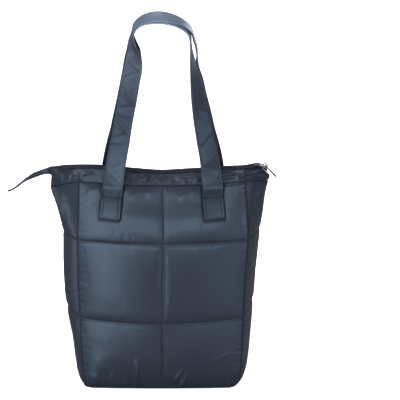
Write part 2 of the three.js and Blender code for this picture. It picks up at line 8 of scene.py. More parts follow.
import bpy
import numpy as np
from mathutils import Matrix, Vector


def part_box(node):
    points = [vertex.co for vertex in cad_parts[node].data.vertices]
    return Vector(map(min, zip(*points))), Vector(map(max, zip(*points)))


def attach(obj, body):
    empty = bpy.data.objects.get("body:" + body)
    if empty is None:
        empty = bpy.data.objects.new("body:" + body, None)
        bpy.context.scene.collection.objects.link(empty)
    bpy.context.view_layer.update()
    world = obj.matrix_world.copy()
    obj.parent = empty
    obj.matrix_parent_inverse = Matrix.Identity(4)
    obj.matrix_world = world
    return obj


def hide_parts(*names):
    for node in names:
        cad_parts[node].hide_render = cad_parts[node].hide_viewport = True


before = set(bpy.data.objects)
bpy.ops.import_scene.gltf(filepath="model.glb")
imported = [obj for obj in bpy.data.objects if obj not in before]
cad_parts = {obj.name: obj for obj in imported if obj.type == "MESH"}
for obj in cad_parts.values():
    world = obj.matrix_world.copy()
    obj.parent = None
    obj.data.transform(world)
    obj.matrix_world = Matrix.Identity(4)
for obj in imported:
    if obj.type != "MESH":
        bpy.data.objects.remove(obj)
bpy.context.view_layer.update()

MM = 0.001
BASE_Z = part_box("base_panel")[0].z
HANG_HEIGHT = 560
TOP_SEAM = 313
QUILT_LEVELS = (0, 114, 233.7, TOP_SEAM)
WALL = 2
INNER_RISE = 30

# Padding: the height of a pillow, and the steep rise beside its seams
PANEL_PUFF = 2.8
GUSSET_PUFF = 1.6
PILLOW_POWER = 2.6
EDGE_PUFF = 1.6
EDGE_REACH = 3.2
OUTER_REACH = 8
LAP_HEIGHT = 1.3
LAP_OFFSET = 2.3
LAP_WIDTH = 0.85
SEAM_WIDTH = 1.1
OUTER_SEAM = 1.5
SEAM_ROUGHNESS = 0.9
BASE_SHADE = 0.4
BASE_SHADE_HEIGHT = 75
BASE_GAP = 0.3
BASE_STEP = 4
BASE_HOLLOW = 1.2

# Cloth grid and its settling
GRID_STEP = 2.3
PANEL_HALF = 124
GUSSET_HALF = 56
GRID_NEAR = np.array((0.7, 1.4, 2.1, 3.0, 4.2))
SETTLE_FRAMES = 22
SETTLE_CAP = 1.8
SETTLE_SHARE = 0.38
SWELL_PASSES = 12
SWELL_CUT = 0.8
SPARE_CLOTH = 0.014
SETTLE_NOISE = 0.12

# Straps and their sewn ends
STRAP_WIDTH = 31
STRAP_THICK = 2.0
TAB_LOW = 266
TAB_HIGH = 297
TAB_PRESS = 1.2
TAB_SINK = 2.1
TAB_PILLOW = 6.5
TAB_PROBE = 8
TAB_CORNER = 2.5
TAB_INSET = 3.4
TAB_DIP = 2.3
TAB_LEAN = 0.11
TAB_BEND = 5.0
BEND_RISE = 17
BEND_FADE = 22
TAB_STITCH = 0.79
EDGE_STITCH = 0.9
LINE_SHARE = 0.055
LINE_WIDTH = 0.9
LINE_DEPTH = 0.4
FOLD_PLACE = 1.8
FOLD_WIDTH = 1.2
FOLD_DEPTH = 0.5
LEG_CUP = 0.5
CROWN_CUP = 0.6
CROWN_START = 70
CROWN_FULL = 30
SMALL_CREASES = 24
# Painted shade on the lower side of the straps
UNDERSIDE_SHADE = 0.75
ARCH_RISE = 30
CROWN_APART = 1.0
CROWN_SPREAD = 2.5
ARCH_LEAN = 4.5
ARCH_TURN_END = 0.35
ARCH_TILT = math.radians(17)
ARCH_FULL = 0.92
ARCH_SLACK = 1.1
ARCH_SINK = 1.2
STRAP_STEP = 2.4
ARCH_STEP = 0.06
STRAP_SMOOTHING = 3

# Top band and zip
BAND_SLOT = 7
BAND_HEIGHT = 19
BAND_TIP = 0.6
BAND_LEFT = 165
BAND_RIGHT = 156
BAND_INSET = 3
BAND_END_SWELL = 4
BAND_ROUND = 0.15
SLOT_POWER = 12
BAND_DIP = 3
BAND_DIP_START = 126
BAND_LIFT = 0.3
BAND_ROWS = 24
CRINKLE_START = -156
CRINKLE_END = 150
CRINKLE_STEP = 2.4
TAPE_INNER = 2.8
TAPE_OUTER = 9
TAPE_THICK = 1.2
TAPE_LIFT = 0.9
ZIP_LEFT = -161
ZIP_RIGHT = 157
ZIP_STEP = 2
TEETH_LEFT = -155
TEETH_RIGHT = 146.2
TOOTH_PITCH = 1.9
TOOTH_HALF = (0.8, 1.75, 1.25)
TOOTH_STAGGER = 0.55
TOOTH_CUT = 0.72
METAL_EDGE = 0.28
METAL_EDGE_ANGLE = math.radians(40)
TAPE_PROFILE = np.linspace(-1, 1, 7)

# Zip tail
TAIL_THICK = 1.2
TAIL_ROOT = -150
TAIL_END = -230
TAIL_TAB_START = -204
CAP_THICK = 2.6
CAP_GROWTH = 2.0
CAP_OVERHANG = 1.1
CAP_MOUTH_SEAM = 2.4
CAP_SIDE_SEAM = 0.8
TAIL_STEP = 1.2
TAIL_HEM = 0.72
TAIL_PROFILE = np.linspace(-1, 1, 33)

# Stitches
STITCH_LENGTH = 2.6
STITCH_PITCH = 3.6
STITCH_RADIUS = 0.36
STITCH_LIFT = 0.1
STRAP_STITCH_SINK = 0.2
EDGE_POINTS = 400
END_POINTS = 20


class Table:
    """Numbers in named columns, read smoothly along the first column."""

    def __init__(self, columns, rows):
        self.columns = columns
        self.rows = np.array(rows, float)

    def at(self, column, place):
        keys = self.rows[:, 0]
        values = self.rows[:, self.columns.index(column)]
        last = len(keys) - 1
        before = np.maximum(np.arange(last + 1) - 1, 0)
        after = np.minimum(np.arange(last + 1) + 1, last)
        slopes = (values[after] - values[before]) / (keys[after] - keys[before])
        place = np.asarray(place, float)
        order = np.sign(keys[-1] - keys[0])
        row = np.clip(np.searchsorted(order * keys, order * place) - 1, 0, last - 1)
        span = keys[row + 1] - keys[row]
        t = np.clip((place - keys[row]) / span, 0, 1)
        ease = t * t * (3 - 2 * t)
        bend = t * (1 - t) ** 2 * slopes[row] + t * t * (t - 1) * slopes[row + 1]
        return values[row] + (values[row + 1] - values[row]) * ease + span * bend


# Body sections: the four upright seams, and the crowns of the panels and the gussets
SECTIONS = Table(
    ("z", "left", "right", "depth", "bulge", "left_bulge", "right_bulge", "power"),
    [
        (0, 105, 101, 46, 4, 0, 0, 2),
        (3, 113, 108, 49, 4, 2, 2, 2),
        (10, 118, 114, 51.5, 4.5, 5, 6, 2),
        (30, 119.5, 117.5, 54, 7.5, 7, 7.5, 2),
        (66, 121.5, 119.5, 55, 12, 10, 9.5, 2),
        (110, 123, 121.2, 55, 15.5, 18, 12.8, 2),
        (165, 125.5, 123.6, 55, 16.5, 19, 13.4, 2),
        (231.5, 126.5, 128, 54, 16, 21, 17, 1.9),
        (265, 125.5, 127, 49, 13, 30, 24, 1.6),
        (290, 125, 125, 43, 9, 38, 30, 1.4),
        (TOP_SEAM, 124.5, 123, 37, 8, 43, 35, 1.3),
    ],
)

# How far the quilt lines rise in the middle of each piece, above their ends
LINE_RISE = Table(
    ("z", "panel", "left", "right"),
    [
        (QUILT_LEVELS[0], 0, 0, 0),
        (QUILT_LEVELS[1], -6.7, 4.5, 14),
        (QUILT_LEVELS[2], -2.2, 0, 5),
        (TOP_SEAM, 0, 0, 0),
    ],
)

# Pleats pressed into each gusset under the band, across from -1 at the front seam to 1 at the back seam
GUSSET_PLEATS = [
    {"across": 0, "width": 0.16, "depth": 5, "low": 238, "high": 311},
    {"across": -0.52, "width": 0.16, "depth": 1.6, "low": 252, "high": 311},
    {"across": 0.52, "width": 0.16, "depth": 1.6, "low": 252, "high": 311},
]

RIDGE = Table(
    ("x", "z"),
    [
        (-165, 328), (-150, 330.6), (-135, 331.6), (-100, 331.8), (-75, 330),
        (-30, 325.6), (0, 323.8), (34, 325.6), (75, 328), (100, 329.8),
        (125, 331.2), (140, 334), (147, 333.4), (152, 330), (157, 325.8),
    ],
)

# Height of the top seam above its level, from the tail end to the slider end
SEAM_LIFT = Table(
    ("x", "lift"),
    [
        (-168, -10.5), (-154, -6.3), (-138, 1.2), (-116, 4.2), (-93, 3.7),
        (-45, 1.2), (0, 1), (45, 1.4), (88, 3.5), (121, 5.4),
        (133, 5), (144, 2.4), (158, -2.2),
    ],
)

# Free legs of a strap. left, right: distance from the middle of the bag.
# apart: distance from its middle plane. turn: degrees twisted from facing forward.
# spread, more: how much wider and more twisted the back strap runs.
STRAP_LEGS = Table(
    ("z", "left", "left_turn", "left_spread", "right", "right_turn", "right_spread", "right_more", "apart"),
    [
        (306, 74.6, 3, 2.5, 75.8, 3, 2.5, 0, 48.5),
        (330, 71.2, 10, 2.5, 73, 10, 2.5, 0, 44.5),
        (355, 67.4, 17, 2.2, 69.6, 22, 2, 0, 40.3),
        (382, 62.3, 23, 1.5, 64.4, 29, 1.2, 0, 35.7),
        (412, 57.3, 27, 1, 59.2, 34, 0.7, 0, 30.7),
        (441, 51.5, 28, 1, 54, 46, 1, 0, 26),
        (471, 46.3, 29, 1, 49.8, 59, 3, 6, 21.3),
        (486, 43.4, 28, 1.2, 46.8, 70, 5.6, 14, 19),
        (501, 42, 38, 1.7, 44.4, 80, 7.6, 10, 17),
        (516, 43.4, 62, 2, 42.8, 88, 7, 2, 15),
        (530, 45.4, 79, 1.2, 41.8, 90, 3.6, 0, 13.5),
    ],
)
STRAPS = [
    {"node": "front_strap", "side": -1, "tab": 77, "spread": 0, "seed": 11, "panel_seed": 21},
    {"node": "back_strap", "side": 1, "tab": 79.5, "spread": 1, "seed": 12, "panel_seed": 22},
]
GUSSET_SEEDS = {-1: 31, 1: 32}
BAND_SEEDS = {-1: 40, 1: 42}

# Folds of the cloth: two ends of each, its half width, and its height, which is negative for a valley.
# Lower gathers of the front and back panel, over x and z.
LOWER_GATHERS = [
    (-113, 2, -86, 66, 15.0, 3.2), (-108, 1, -103, 30, 2.6, 2.2), (-101, 1, -97, 30, 2.2, 3.9),
    (-90, 1, -88, 26, 2.4, 1.8), (-77, 1, -75, 34, 2.2, 5.0), (-70, 1, -68, 26, 2.4, 2.0),
    (-56, 1, -55, 30, 2.6, 2.1), (-40, 1, -37.5, 56, 2.6, 5.6), (-28, 1, -27, 26, 2.4, 1.8),
    (-12, 1, -11, 20, 2.2, 1.4), (18, 14, 31, 38, 2.0, 3.1), (24, 1, 39, 29, 2.0, 4.5),
    (49, 1, 51, 22, 2.2, 2.2), (74, 1, 90, 11, 2.2, 3.1), (96, 58, 72, 44, 2.4, 1.3),
    (98, 1, 104, 24, 2.4, 1.5),
]

# Puckers under the top seam of the panels, over x and z
UPPER_PUCKERS = [
    (-112, 296, -106, 310, 3.0, 0.9), (-104, 301, -98, 311, 3.0, 1.0), (-56, 303, -50, 311, 3.0, 0.9),
    (-44, 298, -38, 310, 3.2, 0.8), (-22, 302, -18, 311, 3.0, 0.8), (28, 297, 36, 308, 3.0, 1.0),
    (44, 303, 50, 311, 3.0, 0.8), (114, 312, 86, 312, 9.0, 3.0), (112, 298, 117, 308, 3.0, 0.7),
]

# Folds of the top band, over x and the height above its seam
BAND_FOLDS = [
    (-150, 1, -148, 16, 2.6, 1.95), (-142, 1, -140, 17, 2.2, -1.65), (-136, 1, -133, 15, 2.4, 1.95),
    (-128, 1, -127, 17, 2.2, -1.5), (-121, 2, -120, 14, 2.6, 1.5), (-114, 12, -92, 10, 2.4, 1.35),
    (91, 13, 114, 14, 1.7, -2.8), (90, 16, 112, 17, 1.8, 1.6), (93, 9.5, 113, 9, 1.7, -2.6),
    (94, 11.5, 112, 11.5, 1.6, 1.8), (91, 6, 110, 6, 2.0, 2.0), (118, 6, 144, 17, 2.4, 3.2),
    (126, 14, 140, 19, 1.6, -1.8), (127, 7.5, 147, 13, 1.8, -3.0), (126, 5, 152, 9, 2.0, 2.8),
    (139, 5.5, 156, 3, 1.8, -2.6), (132, 2.5, 150, 2, 1.8, 1.6), (-60, 3, -57, 14, 3.0, 1.2),
    (-44, 1, -43, 13, 2.6, -1.05), (-26, 2, -23, 15, 3.0, 1.2), (-4, 1, -2, 13, 2.8, 1.05),
    (18, 1, 20, 14, 2.6, -1.05), (34, 2, 31, 15, 3.0, 1.2), (50, 1, 52, 12, 2.6, 1.05),
]

# Folds of each gusset, over the distance behind its middle and z
GUSSET_FOLDS = [
    (-30, 172, -12, 176, 2.4, 0.6), (-34, 166, -14, 164, 2.2, -0.54), (-26, 296, -8, 303, 2.8, 0.35),
    (-24, 289, -6, 293, 2.6, -0.3), (-30, 284, -12, 284, 3.0, 0.3), (8, 298, 26, 294, 2.8, 0.35),
    (12, 288, 28, 285, 2.4, -0.54), (0, 118, 1, 226, 5.0, 0.84), (0, 6, 0, 104, 5.0, 0.72),
    (-20, 104, -18, 92, 2.4, 0.48), (18, 105, 17, 90, 2.4, 0.48), (-22, 226, -20, 212, 2.4, 0.48),
    (20, 226, 19, 208, 2.4, 0.48),
]

# Slanting creases of the strap legs: height on the leg, slant, half width and size
LEFT_CREASES = [
    (494, 8, 1.8, 0.9), (487, 6, 1.6, -1.0), (478, -9, 1.6, 0.8), (449, 10, 1.8, 1.1),
    (442, 7, 1.5, -1.2), (430, -4, 1.6, 0.8), (418, 1, 1.3, -1.1), (404, 9, 1.8, 1.2),
    (396, 12, 1.6, -1.3), (388, -7, 1.6, 1.1), (379, -2, 1.5, -1.2), (369, 6, 1.8, 0.8),
    (342, -8, 2.4, 0.7),
]
RIGHT_CREASES = [
    (470, 8, 2.6, 0.4), (426, -7, 2.6, 0.3), (386, 8, 1.8, -0.6), (378, 9, 2.0, 0.5),
    (352, 8, 2.0, -0.5), (340, -6, 2.4, 0.5),
]

# Zip tail. z: height of its ridge. roll: degrees that its front edge is turned down.
# fold: degrees that its halves are folded down from the ridge.
TAIL = Table(
    ("x", "z", "width", "roll", "fold"),
    [
        (-150, 331.2, 24, 0, 66), (-156, 331.4, 26, 0, 66), (-161, 331.8, 30, 0, 64),
        (-165.5, 331.8, 33, 0, 60), (-168.5, 331.2, 28, 0, 57), (-171.5, 330.2, 26, 2, 38),
        (-174.5, 329, 26, 3, 27), (-180.5, 327, 26, 3, 22), (-186.5, 324.3, 25, 3, 21),
        (-192.5, 321.7, 24, 3, 22), (-198.5, 317.8, 22, 0, 17), (-204.5, 312.6, 20, -6, 6),
        (-210.5, 307.4, 19, -8, 0), (-216.5, 302.4, 18, -8, 0), (-222.5, 298, 18, -12, 0),
        (-233, 293.5, 18, -14, 0),
    ],
)


# Helpers
def mix(a, b, t):
    return a + (b - a) * t


def smooth(low, high, value):
    t = np.clip((value - low) / (high - low), 0, 1)
    return t * t * (3 - 2 * t)


def stack(x, y, z):
    return np.stack(np.broadcast_arrays(x, y, z), axis=-1)


def unit(vectors):
    return vectors / np.maximum(np.linalg.norm(vectors, axis=-1, keepdims=True), 1e-12)


def bell(distance, width):
    return np.exp(-((distance / width) ** 2))


def smoothed(values, passes):
    for _ in range(passes):
        inside = (values[:-2] + 2 * values[1:-1] + values[2:]) / 4
        values = np.concatenate((values[:1], inside, values[-1:]))
    return values


def lengths_along(line):
    """Length from the first point of a line to each of its points."""
    return np.concatenate(([0], np.linalg.norm(np.diff(line, axis=0), axis=1).cumsum()))


def read_rows(at, length, rows):
    """Three columns of numbers, read at lengths along their line."""
    return np.stack([np.interp(at, length, rows[:, k]) for k in range(3)], axis=1)


def directions(middle):
    return unit(np.gradient(middle, axis=0))


def facing(side):
    return "front" if side < 0 else "back"


def ending(side):
    return "left" if side < 0 else "right"


def to_frame(points):
    """Points of the bag in millimetres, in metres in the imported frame."""
    return np.asarray(points, float) * MM + np.array((0, 0, BASE_Z))


def spaced(low, high, step):
    return np.linspace(low, high, max(2, round((high - low) / step)) + 1)


def between(breaks, step, near):
    """Values that hit every break, closer together beside it."""
    values = [breaks[0]]
    for low, high in zip(breaks, breaks[1:]):
        values.extend(low + near)
        values.extend(spaced(low + near[-1], high - near[-1], step)[1:-1])
        values.extend(high - near[::-1])
        values.append(high)
    return np.array(values)


def mesh_object(name, points, faces, material, uv=None, seam=None):
    """A smooth mesh from points in metres, with its cloth coordinates and its seam mark, which darkens the
    colour: partly dense sewn cloth, partly painted shade.
    """
    mesh = bpy.data.meshes.new(name)
    mesh.from_pydata(np.asarray(points).reshape(-1, 3).tolist(), [], [list(f) for f in faces])
    mesh.shade_smooth()
    if uv is not None:
        corners = np.zeros(len(mesh.loops), int)
        mesh.loops.foreach_get("vertex_index", corners)
        layer = mesh.uv_layers.new(name="cloth")
        layer.data.foreach_set("uv", np.asarray(uv, np.float32).reshape(-1, 2)[corners].ravel())
    if seam is not None:
        layer = mesh.attributes.new("seam", "FLOAT", "POINT")
        layer.data.foreach_set("value", np.asarray(seam, np.float32).ravel())
    mesh.materials.append(material)
    obj = bpy.data.objects.new(name, mesh)
    bpy.context.scene.collection.objects.link(obj)
    return obj


def grid_faces(rows, columns):
    at = np.arange(rows * columns).reshape(rows, columns)
    quads = np.stack((at[:-1, :-1], at[:-1, 1:], at[1:, 1:], at[1:, :-1]), axis=-1)
    return quads.reshape(-1, 4)


def rim_of(rows, columns):
    at = np.arange(rows * columns).reshape(rows, columns)
    return np.concatenate((at[0, :-1], at[:-1, -1], at[-1, :0:-1], at[:0:-1, 0]))


def closed_faces(rows, columns, flip):
    """Faces of an outer grid, an inner grid after it, and the rim between them."""
    outer = grid_faces(rows, columns)
    far = rows * columns
    rim = rim_of(rows, columns)
    ahead = np.roll(rim, -1)
    edge = np.stack((ahead, rim, rim + far, ahead + far), axis=-1)
    faces = np.concatenate((outer, outer[:, ::-1] + far, edge))
    return faces[:, ::-1] if flip else faces


def arc_lengths(points):
    """Cloth coordinates of a grid of points: lengths along its columns and its rows."""
    across = np.linalg.norm(np.diff(points, axis=1), axis=-1).cumsum(axis=1)
    along = np.linalg.norm(np.diff(points, axis=0), axis=-1).cumsum(axis=0)
    u = np.concatenate((np.zeros((len(points), 1)), across), axis=1)
    v = np.concatenate((np.zeros((1, points.shape[1])), along), axis=0)
    return stack(u, v, 0)[..., :2]


def cloth_wall(name, outer, inner, material, flip, seam):
    """A closed cloth wall from an outer and an inner grid, in millimetres above the base."""
    rows, columns = outer.shape[:2]
    points = np.concatenate((to_frame(outer).reshape(-1, 3), to_frame(inner).reshape(-1, 3)))
    coordinates = arc_lengths(outer * MM).reshape(-1, 2)
    uv = np.concatenate((coordinates, coordinates))
    marks = np.concatenate((seam.ravel(), seam.ravel()))
    return mesh_object(name, points, closed_faces(rows, columns, flip), material, uv, marks)


def settle(start, pinned, flip, seed):
    """Lets cloth with some spare length puff out and pucker between its sewn lines."""
    rows, columns = start.shape[:2]
    random = np.random.default_rng(seed)
    rough = start + random.normal(0, SETTLE_NOISE, start.shape) * ~pinned[..., None]
    faces = grid_faces(rows, columns)
    mesh = bpy.data.meshes.new("settling")
    mesh.from_pydata((rough * MM).reshape(-1, 3).tolist(), [], (faces[:, ::-1] if flip else faces).tolist())
    obj = bpy.data.objects.new("settling", mesh)
    scene = bpy.context.scene
    scene.collection.objects.link(obj)
    sewn = obj.vertex_groups.new(name="sewn")
    sewn.add(np.flatnonzero(pinned.ravel()).tolist(), 1.0, "REPLACE")
    cloth = obj.modifiers.new("cloth", "CLOTH")
    cloth.point_cache.frame_start = 1
    cloth.point_cache.frame_end = SETTLE_FRAMES
    settings = cloth.settings
    settings.quality = 4
    settings.mass = 0.05
    settings.vertex_group_mass = "sewn"
    settings.tension_stiffness = 12
    settings.compression_stiffness = 12
    settings.shear_stiffness = 4
    settings.bending_stiffness = 0.06
    settings.air_damping = 2
    settings.shrink_min = -SPARE_CLOTH
    settings.use_pressure = True
    settings.uniform_pressure_force = 30
    settings.effector_weights.gravity = 0
    cloth.collision_settings.use_collision = False
    for number in range(1, SETTLE_FRAMES + 1):
        scene.frame_set(number)
    shown = obj.evaluated_get(bpy.context.evaluated_depsgraph_get()).to_mesh()
    ended = np.zeros(rows * columns * 3, np.float32)
    shown.vertices.foreach_get("co", ended)
    scene.frame_set(1)
    bpy.data.objects.remove(obj)
    bpy.data.meshes.remove(mesh)
    move = ended.reshape(start.shape) / MM - start
    size = np.linalg.norm(move, axis=-1, keepdims=True)
    move = move * SETTLE_CAP / np.maximum(size, SETTLE_CAP)
    swell = smoothed(smoothed(move, SWELL_PASSES).swapaxes(0, 1), SWELL_PASSES).swapaxes(0, 1)
    return start + SETTLE_SHARE * (move - SWELL_CUT * swell)


def creased(points, u, v, folds, outward, hold):
    """Raises ridges and presses valleys along short lines.

    u, v: places on the cloth. hold: how much of each fold a place takes on.
    """
    height = np.zeros(points.shape[:2])
    for u0, v0, u1, v1, width, size in folds:
        run_u, run_v = u1 - u0, v1 - v0
        t = np.clip(((u - u0) * run_u + (v - v0) * run_v) / (run_u**2 + run_v**2), 0, 1)
        away = np.hypot(u - u0 - t * run_u, v - v0 - t * run_v) / width
        height += size * np.exp(-(away**2)) * (1 - t**2)
    normal = unit(np.cross(np.gradient(points, axis=1), np.gradient(points, axis=0)))
    return points + normal * (outward * hold * height)[..., None]


def tuck(points, normal_axis, depth):
    """The lining side of a wall, straight behind its outside."""
    inner = points.copy()
    inner[..., normal_axis] -= np.sign(points[..., normal_axis]) * depth
    return inner


# Materials
class Shading:
    """The nodes of a material or of the surroundings."""

    def __init__(self, owner):
        owner.use_nodes = True
        self.nodes = owner.node_tree.nodes
        self.links = owner.node_tree.links
        self.place = self.nodes.new("ShaderNodeTexCoord").outputs

    def fill(self, node, inputs):
        """Sets sockets by name or number, each to a value or to what another node gives out."""
        for socket, value in inputs.items():
            if isinstance(value, bpy.types.NodeSocket):
                self.links.new(value, node.inputs[socket])
            else:
                node.inputs[socket].default_value = value

    def add(self, kind, inputs, result, **settings):
        """Adds a node and returns what it gives out."""
        node = self.nodes.new("ShaderNode" + kind)
        for name, value in settings.items():
            setattr(node, name, value)
        self.fill(node, inputs)
        return node.outputs[result]

    def noise(self, vector, scale, detail):
        return self.add("TexNoise", {"Vector": vector, "Scale": scale, "Detail": detail}, "Fac")

    def span(self, value, start, end, low, high):
        inputs = {"Value": value, "From Min": start, "From Max": end, "To Min": low, "To Max": high}
        return self.add("MapRange", inputs, "Result")

    def ramp(self, value, low, high):
        return self.span(value, 0.3, 0.7, low, high)

    def blend(self, share, first, second):
        inputs = {"Factor": share, MIX_FIRST: first, MIX_SECOND: second}
        return self.add("Mix", inputs, MIX_RESULT, data_type="RGBA")

    def bump(self, height, strength, distance, below=None):
        inputs = {"Height": height, "Strength": strength, "Distance": distance}
        if below is not None:
            inputs["Normal"] = below
        return self.add("Bump", inputs, "Normal")


# Colour sockets of a mix node
MIX_FIRST = 6
MIX_SECOND = 7
MIX_RESULT = 2

# Waves of the weave for each unit of the cloth coordinates, and the stretch of its thick threads
WAVE_SCALE = 0.314
SLUB_STRETCH = (1, 1, 0.12)
GLOSS_TINT = (0.5, 0.74, 1.0, 1)
SHEEN_TINT = (0.55, 0.7, 0.95, 1)
SHEEN_ROUGHNESS = 0.35
SHADER = "Principled BSDF"


def solid(colour, share=1):
    return (*(share * channel for channel in colour), 1)


def cloth_material(name, colour, seam_and_shade_colour, roughness, thread, sheen, gloss):
    """Woven cloth: plain weave, soft crinkles, uneven dye, and a darker colour where the seam mark is set:
    partly dense sewn cloth in the seams, partly painted shade.
    """
    material = bpy.data.materials.new(name)
    look = Shading(material)
    spot = look.place["Object"]
    patches = look.noise(spot, scale=18, detail=3)
    dyed = look.blend(look.ramp(patches, 0, 1), solid(colour, 0.9), solid(colour))
    # The seam mark blends in the darker colour: partly dense sewn cloth, partly painted shade in grooves,
    # round the strap ends, near the base and under the straps.
    seam = look.add("Attribute", {}, "Fac", attribute_name="seam")
    sewn = look.span(seam, BASE_SHADE, 1, 0, 1)
    even = look.ramp(patches, roughness - 0.04, roughness + 0.05)
    dulled = look.add("Mix", {"Factor": sewn, "A": even, "B": SEAM_ROUGHNESS}, "Result", data_type="FLOAT")
    threads = {"Vector": look.place["UV"], "Scale": WAVE_SCALE / (thread * MM)}
    weave = [look.add("TexWave", threads, "Fac", bands_direction=direction) for direction in ("X", "Y")]
    cross = look.add("Math", {0: weave[0], 1: weave[1]}, "Value", operation="MULTIPLY")
    stretched = look.add("VectorMath", {0: spot, 1: SLUB_STRETCH}, "Vector", operation="MULTIPLY")
    slubs = look.bump(look.noise(stretched, scale=300, detail=2), strength=0.12, distance=0.0006)
    crinkles = look.bump(look.noise(spot, scale=70, detail=4), strength=0.3, distance=0.0012, below=slubs)
    surface = {
        "Base Color": look.blend(seam, dyed, solid(seam_and_shade_colour)),
        "Roughness": dulled,
        "Normal": look.bump(cross, strength=0.25, distance=0.00008, below=crinkles),
        "Specular IOR Level": gloss,
        "Specular Tint": GLOSS_TINT,
        "Sheen Weight": sheen,
        "Sheen Roughness": SHEEN_ROUGHNESS,
        "Sheen Tint": SHEEN_TINT,
    }
    look.fill(look.nodes[SHADER], surface)
    return material


def plain_material(name, colour, roughness, metallic, grain, glow=0):
    """Moulded plastic or plated metal with fine wear."""
    material = bpy.data.materials.new(name)
    look = Shading(material)
    worn = look.noise(look.place["Object"], grain, detail=5)
    surface = {
        "Base Color": look.blend(look.ramp(worn, 0, 1), solid(colour, 0.8), solid(colour)),
        "Roughness": look.ramp(worn, roughness - 0.06, roughness + 0.08),
        "Normal": look.bump(worn, strength=0.1, distance=0.0001),
        "Metallic": metallic,
        "Emission Color": (1, 1, 1, 1),
        "Emission Strength": glow,
    }
    look.fill(look.nodes[SHADER], surface)
    return material


NYLON = (0.037, 0.0445, 0.0645)
STRAP_NYLON = (0.034, 0.041, 0.059)
# Darker colour of the nylon for its seams and for painted shade
NYLON_SEAM_AND_SHADE = (0.013, 0.016, 0.024)
TAPE = (0.054, 0.057, 0.080)
TAPE_DEEP = (0.015, 0.016, 0.023)
THREAD = (0.03, 0.037, 0.054)
TEETH = (0.016, 0.017, 0.023)
METAL = (0.17, 0.173, 0.18)
nylon = cloth_material("nylon", NYLON, NYLON_SEAM_AND_SHADE, roughness=0.33, thread=0.5, sheen=0.04, gloss=0.5)
strap_nylon = cloth_material(
    "strap_nylon", STRAP_NYLON, NYLON_SEAM_AND_SHADE, roughness=0.33, thread=0.6, sheen=0.04, gloss=0.5
)
tape_cloth = cloth_material("tape_cloth", TAPE, TAPE_DEEP, roughness=0.85, thread=0.7, sheen=0, gloss=0.15)
thread_material = plain_material("thread", THREAD, roughness=0.6, metallic=0, grain=900)
teeth_plastic = plain_material("teeth_plastic", TEETH, roughness=0.6, metallic=0, grain=1200)
zip_metal = plain_material("zip_metal", METAL, roughness=0.34, metallic=1, grain=700)


def finish_piece(obj, slot, *nodes, body="bag"):
    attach(obj, body)
    if nodes:
        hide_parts(*nodes)


# Body surfaces
def pillow(share):
    return 1 - np.abs(2 * share - 1) ** PILLOW_POWER


def row_share(z):
    """Share of the way up a quilt row, and the distance to its nearer line."""
    levels = np.array(QUILT_LEVELS, float)
    row = np.clip(np.searchsorted(levels, z, side="right") - 1, 0, len(levels) - 2)
    low, high = levels[row], levels[row + 1]
    return (z - low) / (high - low), np.minimum(z - low, high - z)


def panel_width(z):
    return SECTIONS.at("left", z) + SECTIONS.at("right", z)


def raised(x, y, z):
    """Points that rise and fall with the top seam above them."""
    return stack(x, y, z + SEAM_LIFT.at("lift", x) * smooth(QUILT_LEVELS[2], TOP_SEAM, z))


def panel_point(side, across, z, puff):
    left, right = SECTIONS.at("left", z), SECTIONS.at("right", z)
    crown = SECTIONS.at("depth", z) + SECTIONS.at("bulge", z) * (1 - across**2)
    height = z + LINE_RISE.at("panel", z) * (1 - across**2)
    return raised(mix(-left, right, (across + 1) / 2), side * (crown + puff), height)


def panel_puff(across, z):
    share = np.where(across < 0, across + 1, across)
    rise, from_line = row_share(z)
    from_middle = np.abs(across) * panel_width(z) / 2
    from_outer = panel_width(z) / 2 - from_middle
    edge = (1 - np.exp(-from_middle / EDGE_REACH)) * (1 - np.exp(-from_line / EDGE_REACH))
    edge = edge * (1 - np.exp(-from_outer / OUTER_REACH))
    right_of_middle = across * panel_width(z) / 2
    lap = bell(right_of_middle - LAP_OFFSET, LAP_WIDTH)
    for level in QUILT_LEVELS[1:3]:
        lap = np.maximum(lap, bell(level - z - LAP_OFFSET, LAP_WIDTH))
    plain = PANEL_PUFF * pillow(share) * pillow(rise) + EDGE_PUFF * edge
    return plain + LAP_HEIGHT * lap * smooth(0, 20, z)


def gusset_point(side, across, z, puff):
    half = SECTIONS.at(ending(side), z)
    bulge = SECTIONS.at(ending(side) + "_bulge", z)
    crown = half + bulge * (1 - np.abs(across) ** SECTIONS.at("power", z)) + puff
    height = z + LINE_RISE.at(ending(side), z) * (1 - across**2)
    return raised(side * crown, across * SECTIONS.at("depth", z), height)


def gusset_puff(across, z):
    share = (across + 1) / 2
    rise, from_line = row_share(z)
    from_seam = (1 - np.abs(across)) * SECTIONS.at("depth", z)
    edge = (1 - np.exp(-from_seam / OUTER_REACH)) * (1 - np.exp(-from_line / EDGE_REACH))
    puff = GUSSET_PUFF * pillow(share) * pillow(rise) + EDGE_PUFF * edge
    for fold in GUSSET_PLEATS:
        along = np.clip((z - fold["low"]) / (fold["high"] - fold["low"]), 0, 1)
        dent = bell(across - fold["across"], fold["width"])
        puff = puff - fold["depth"] * dent * np.sin(np.pi * along)
    return puff


BASE_ROWS = np.array((0, 0.6, 1.4, 2.4, 3.8, 5.6, 7.6, 9.6))
FIRST_ROW = 11
LEVELS = np.concatenate((BASE_ROWS, between((FIRST_ROW, *QUILT_LEVELS[1:]), GRID_STEP, GRID_NEAR)))


def line_marks(shape, rows, columns):
    marks = np.zeros(shape, bool)
    for row in rows:
        marks[row, :] = True
    for column in columns:
        marks[:, column] = True
    return marks


def nearest(values, targets):
    return [int(np.argmin(np.abs(values - target))) for target in targets]


def tab_middle(strap, z):
    """Distance of the middle of a sewn strap end from the middle of the bag."""
    return strap["tab"] + TAB_LEAN * ((TAB_LOW + TAB_HIGH) / 2 - z)


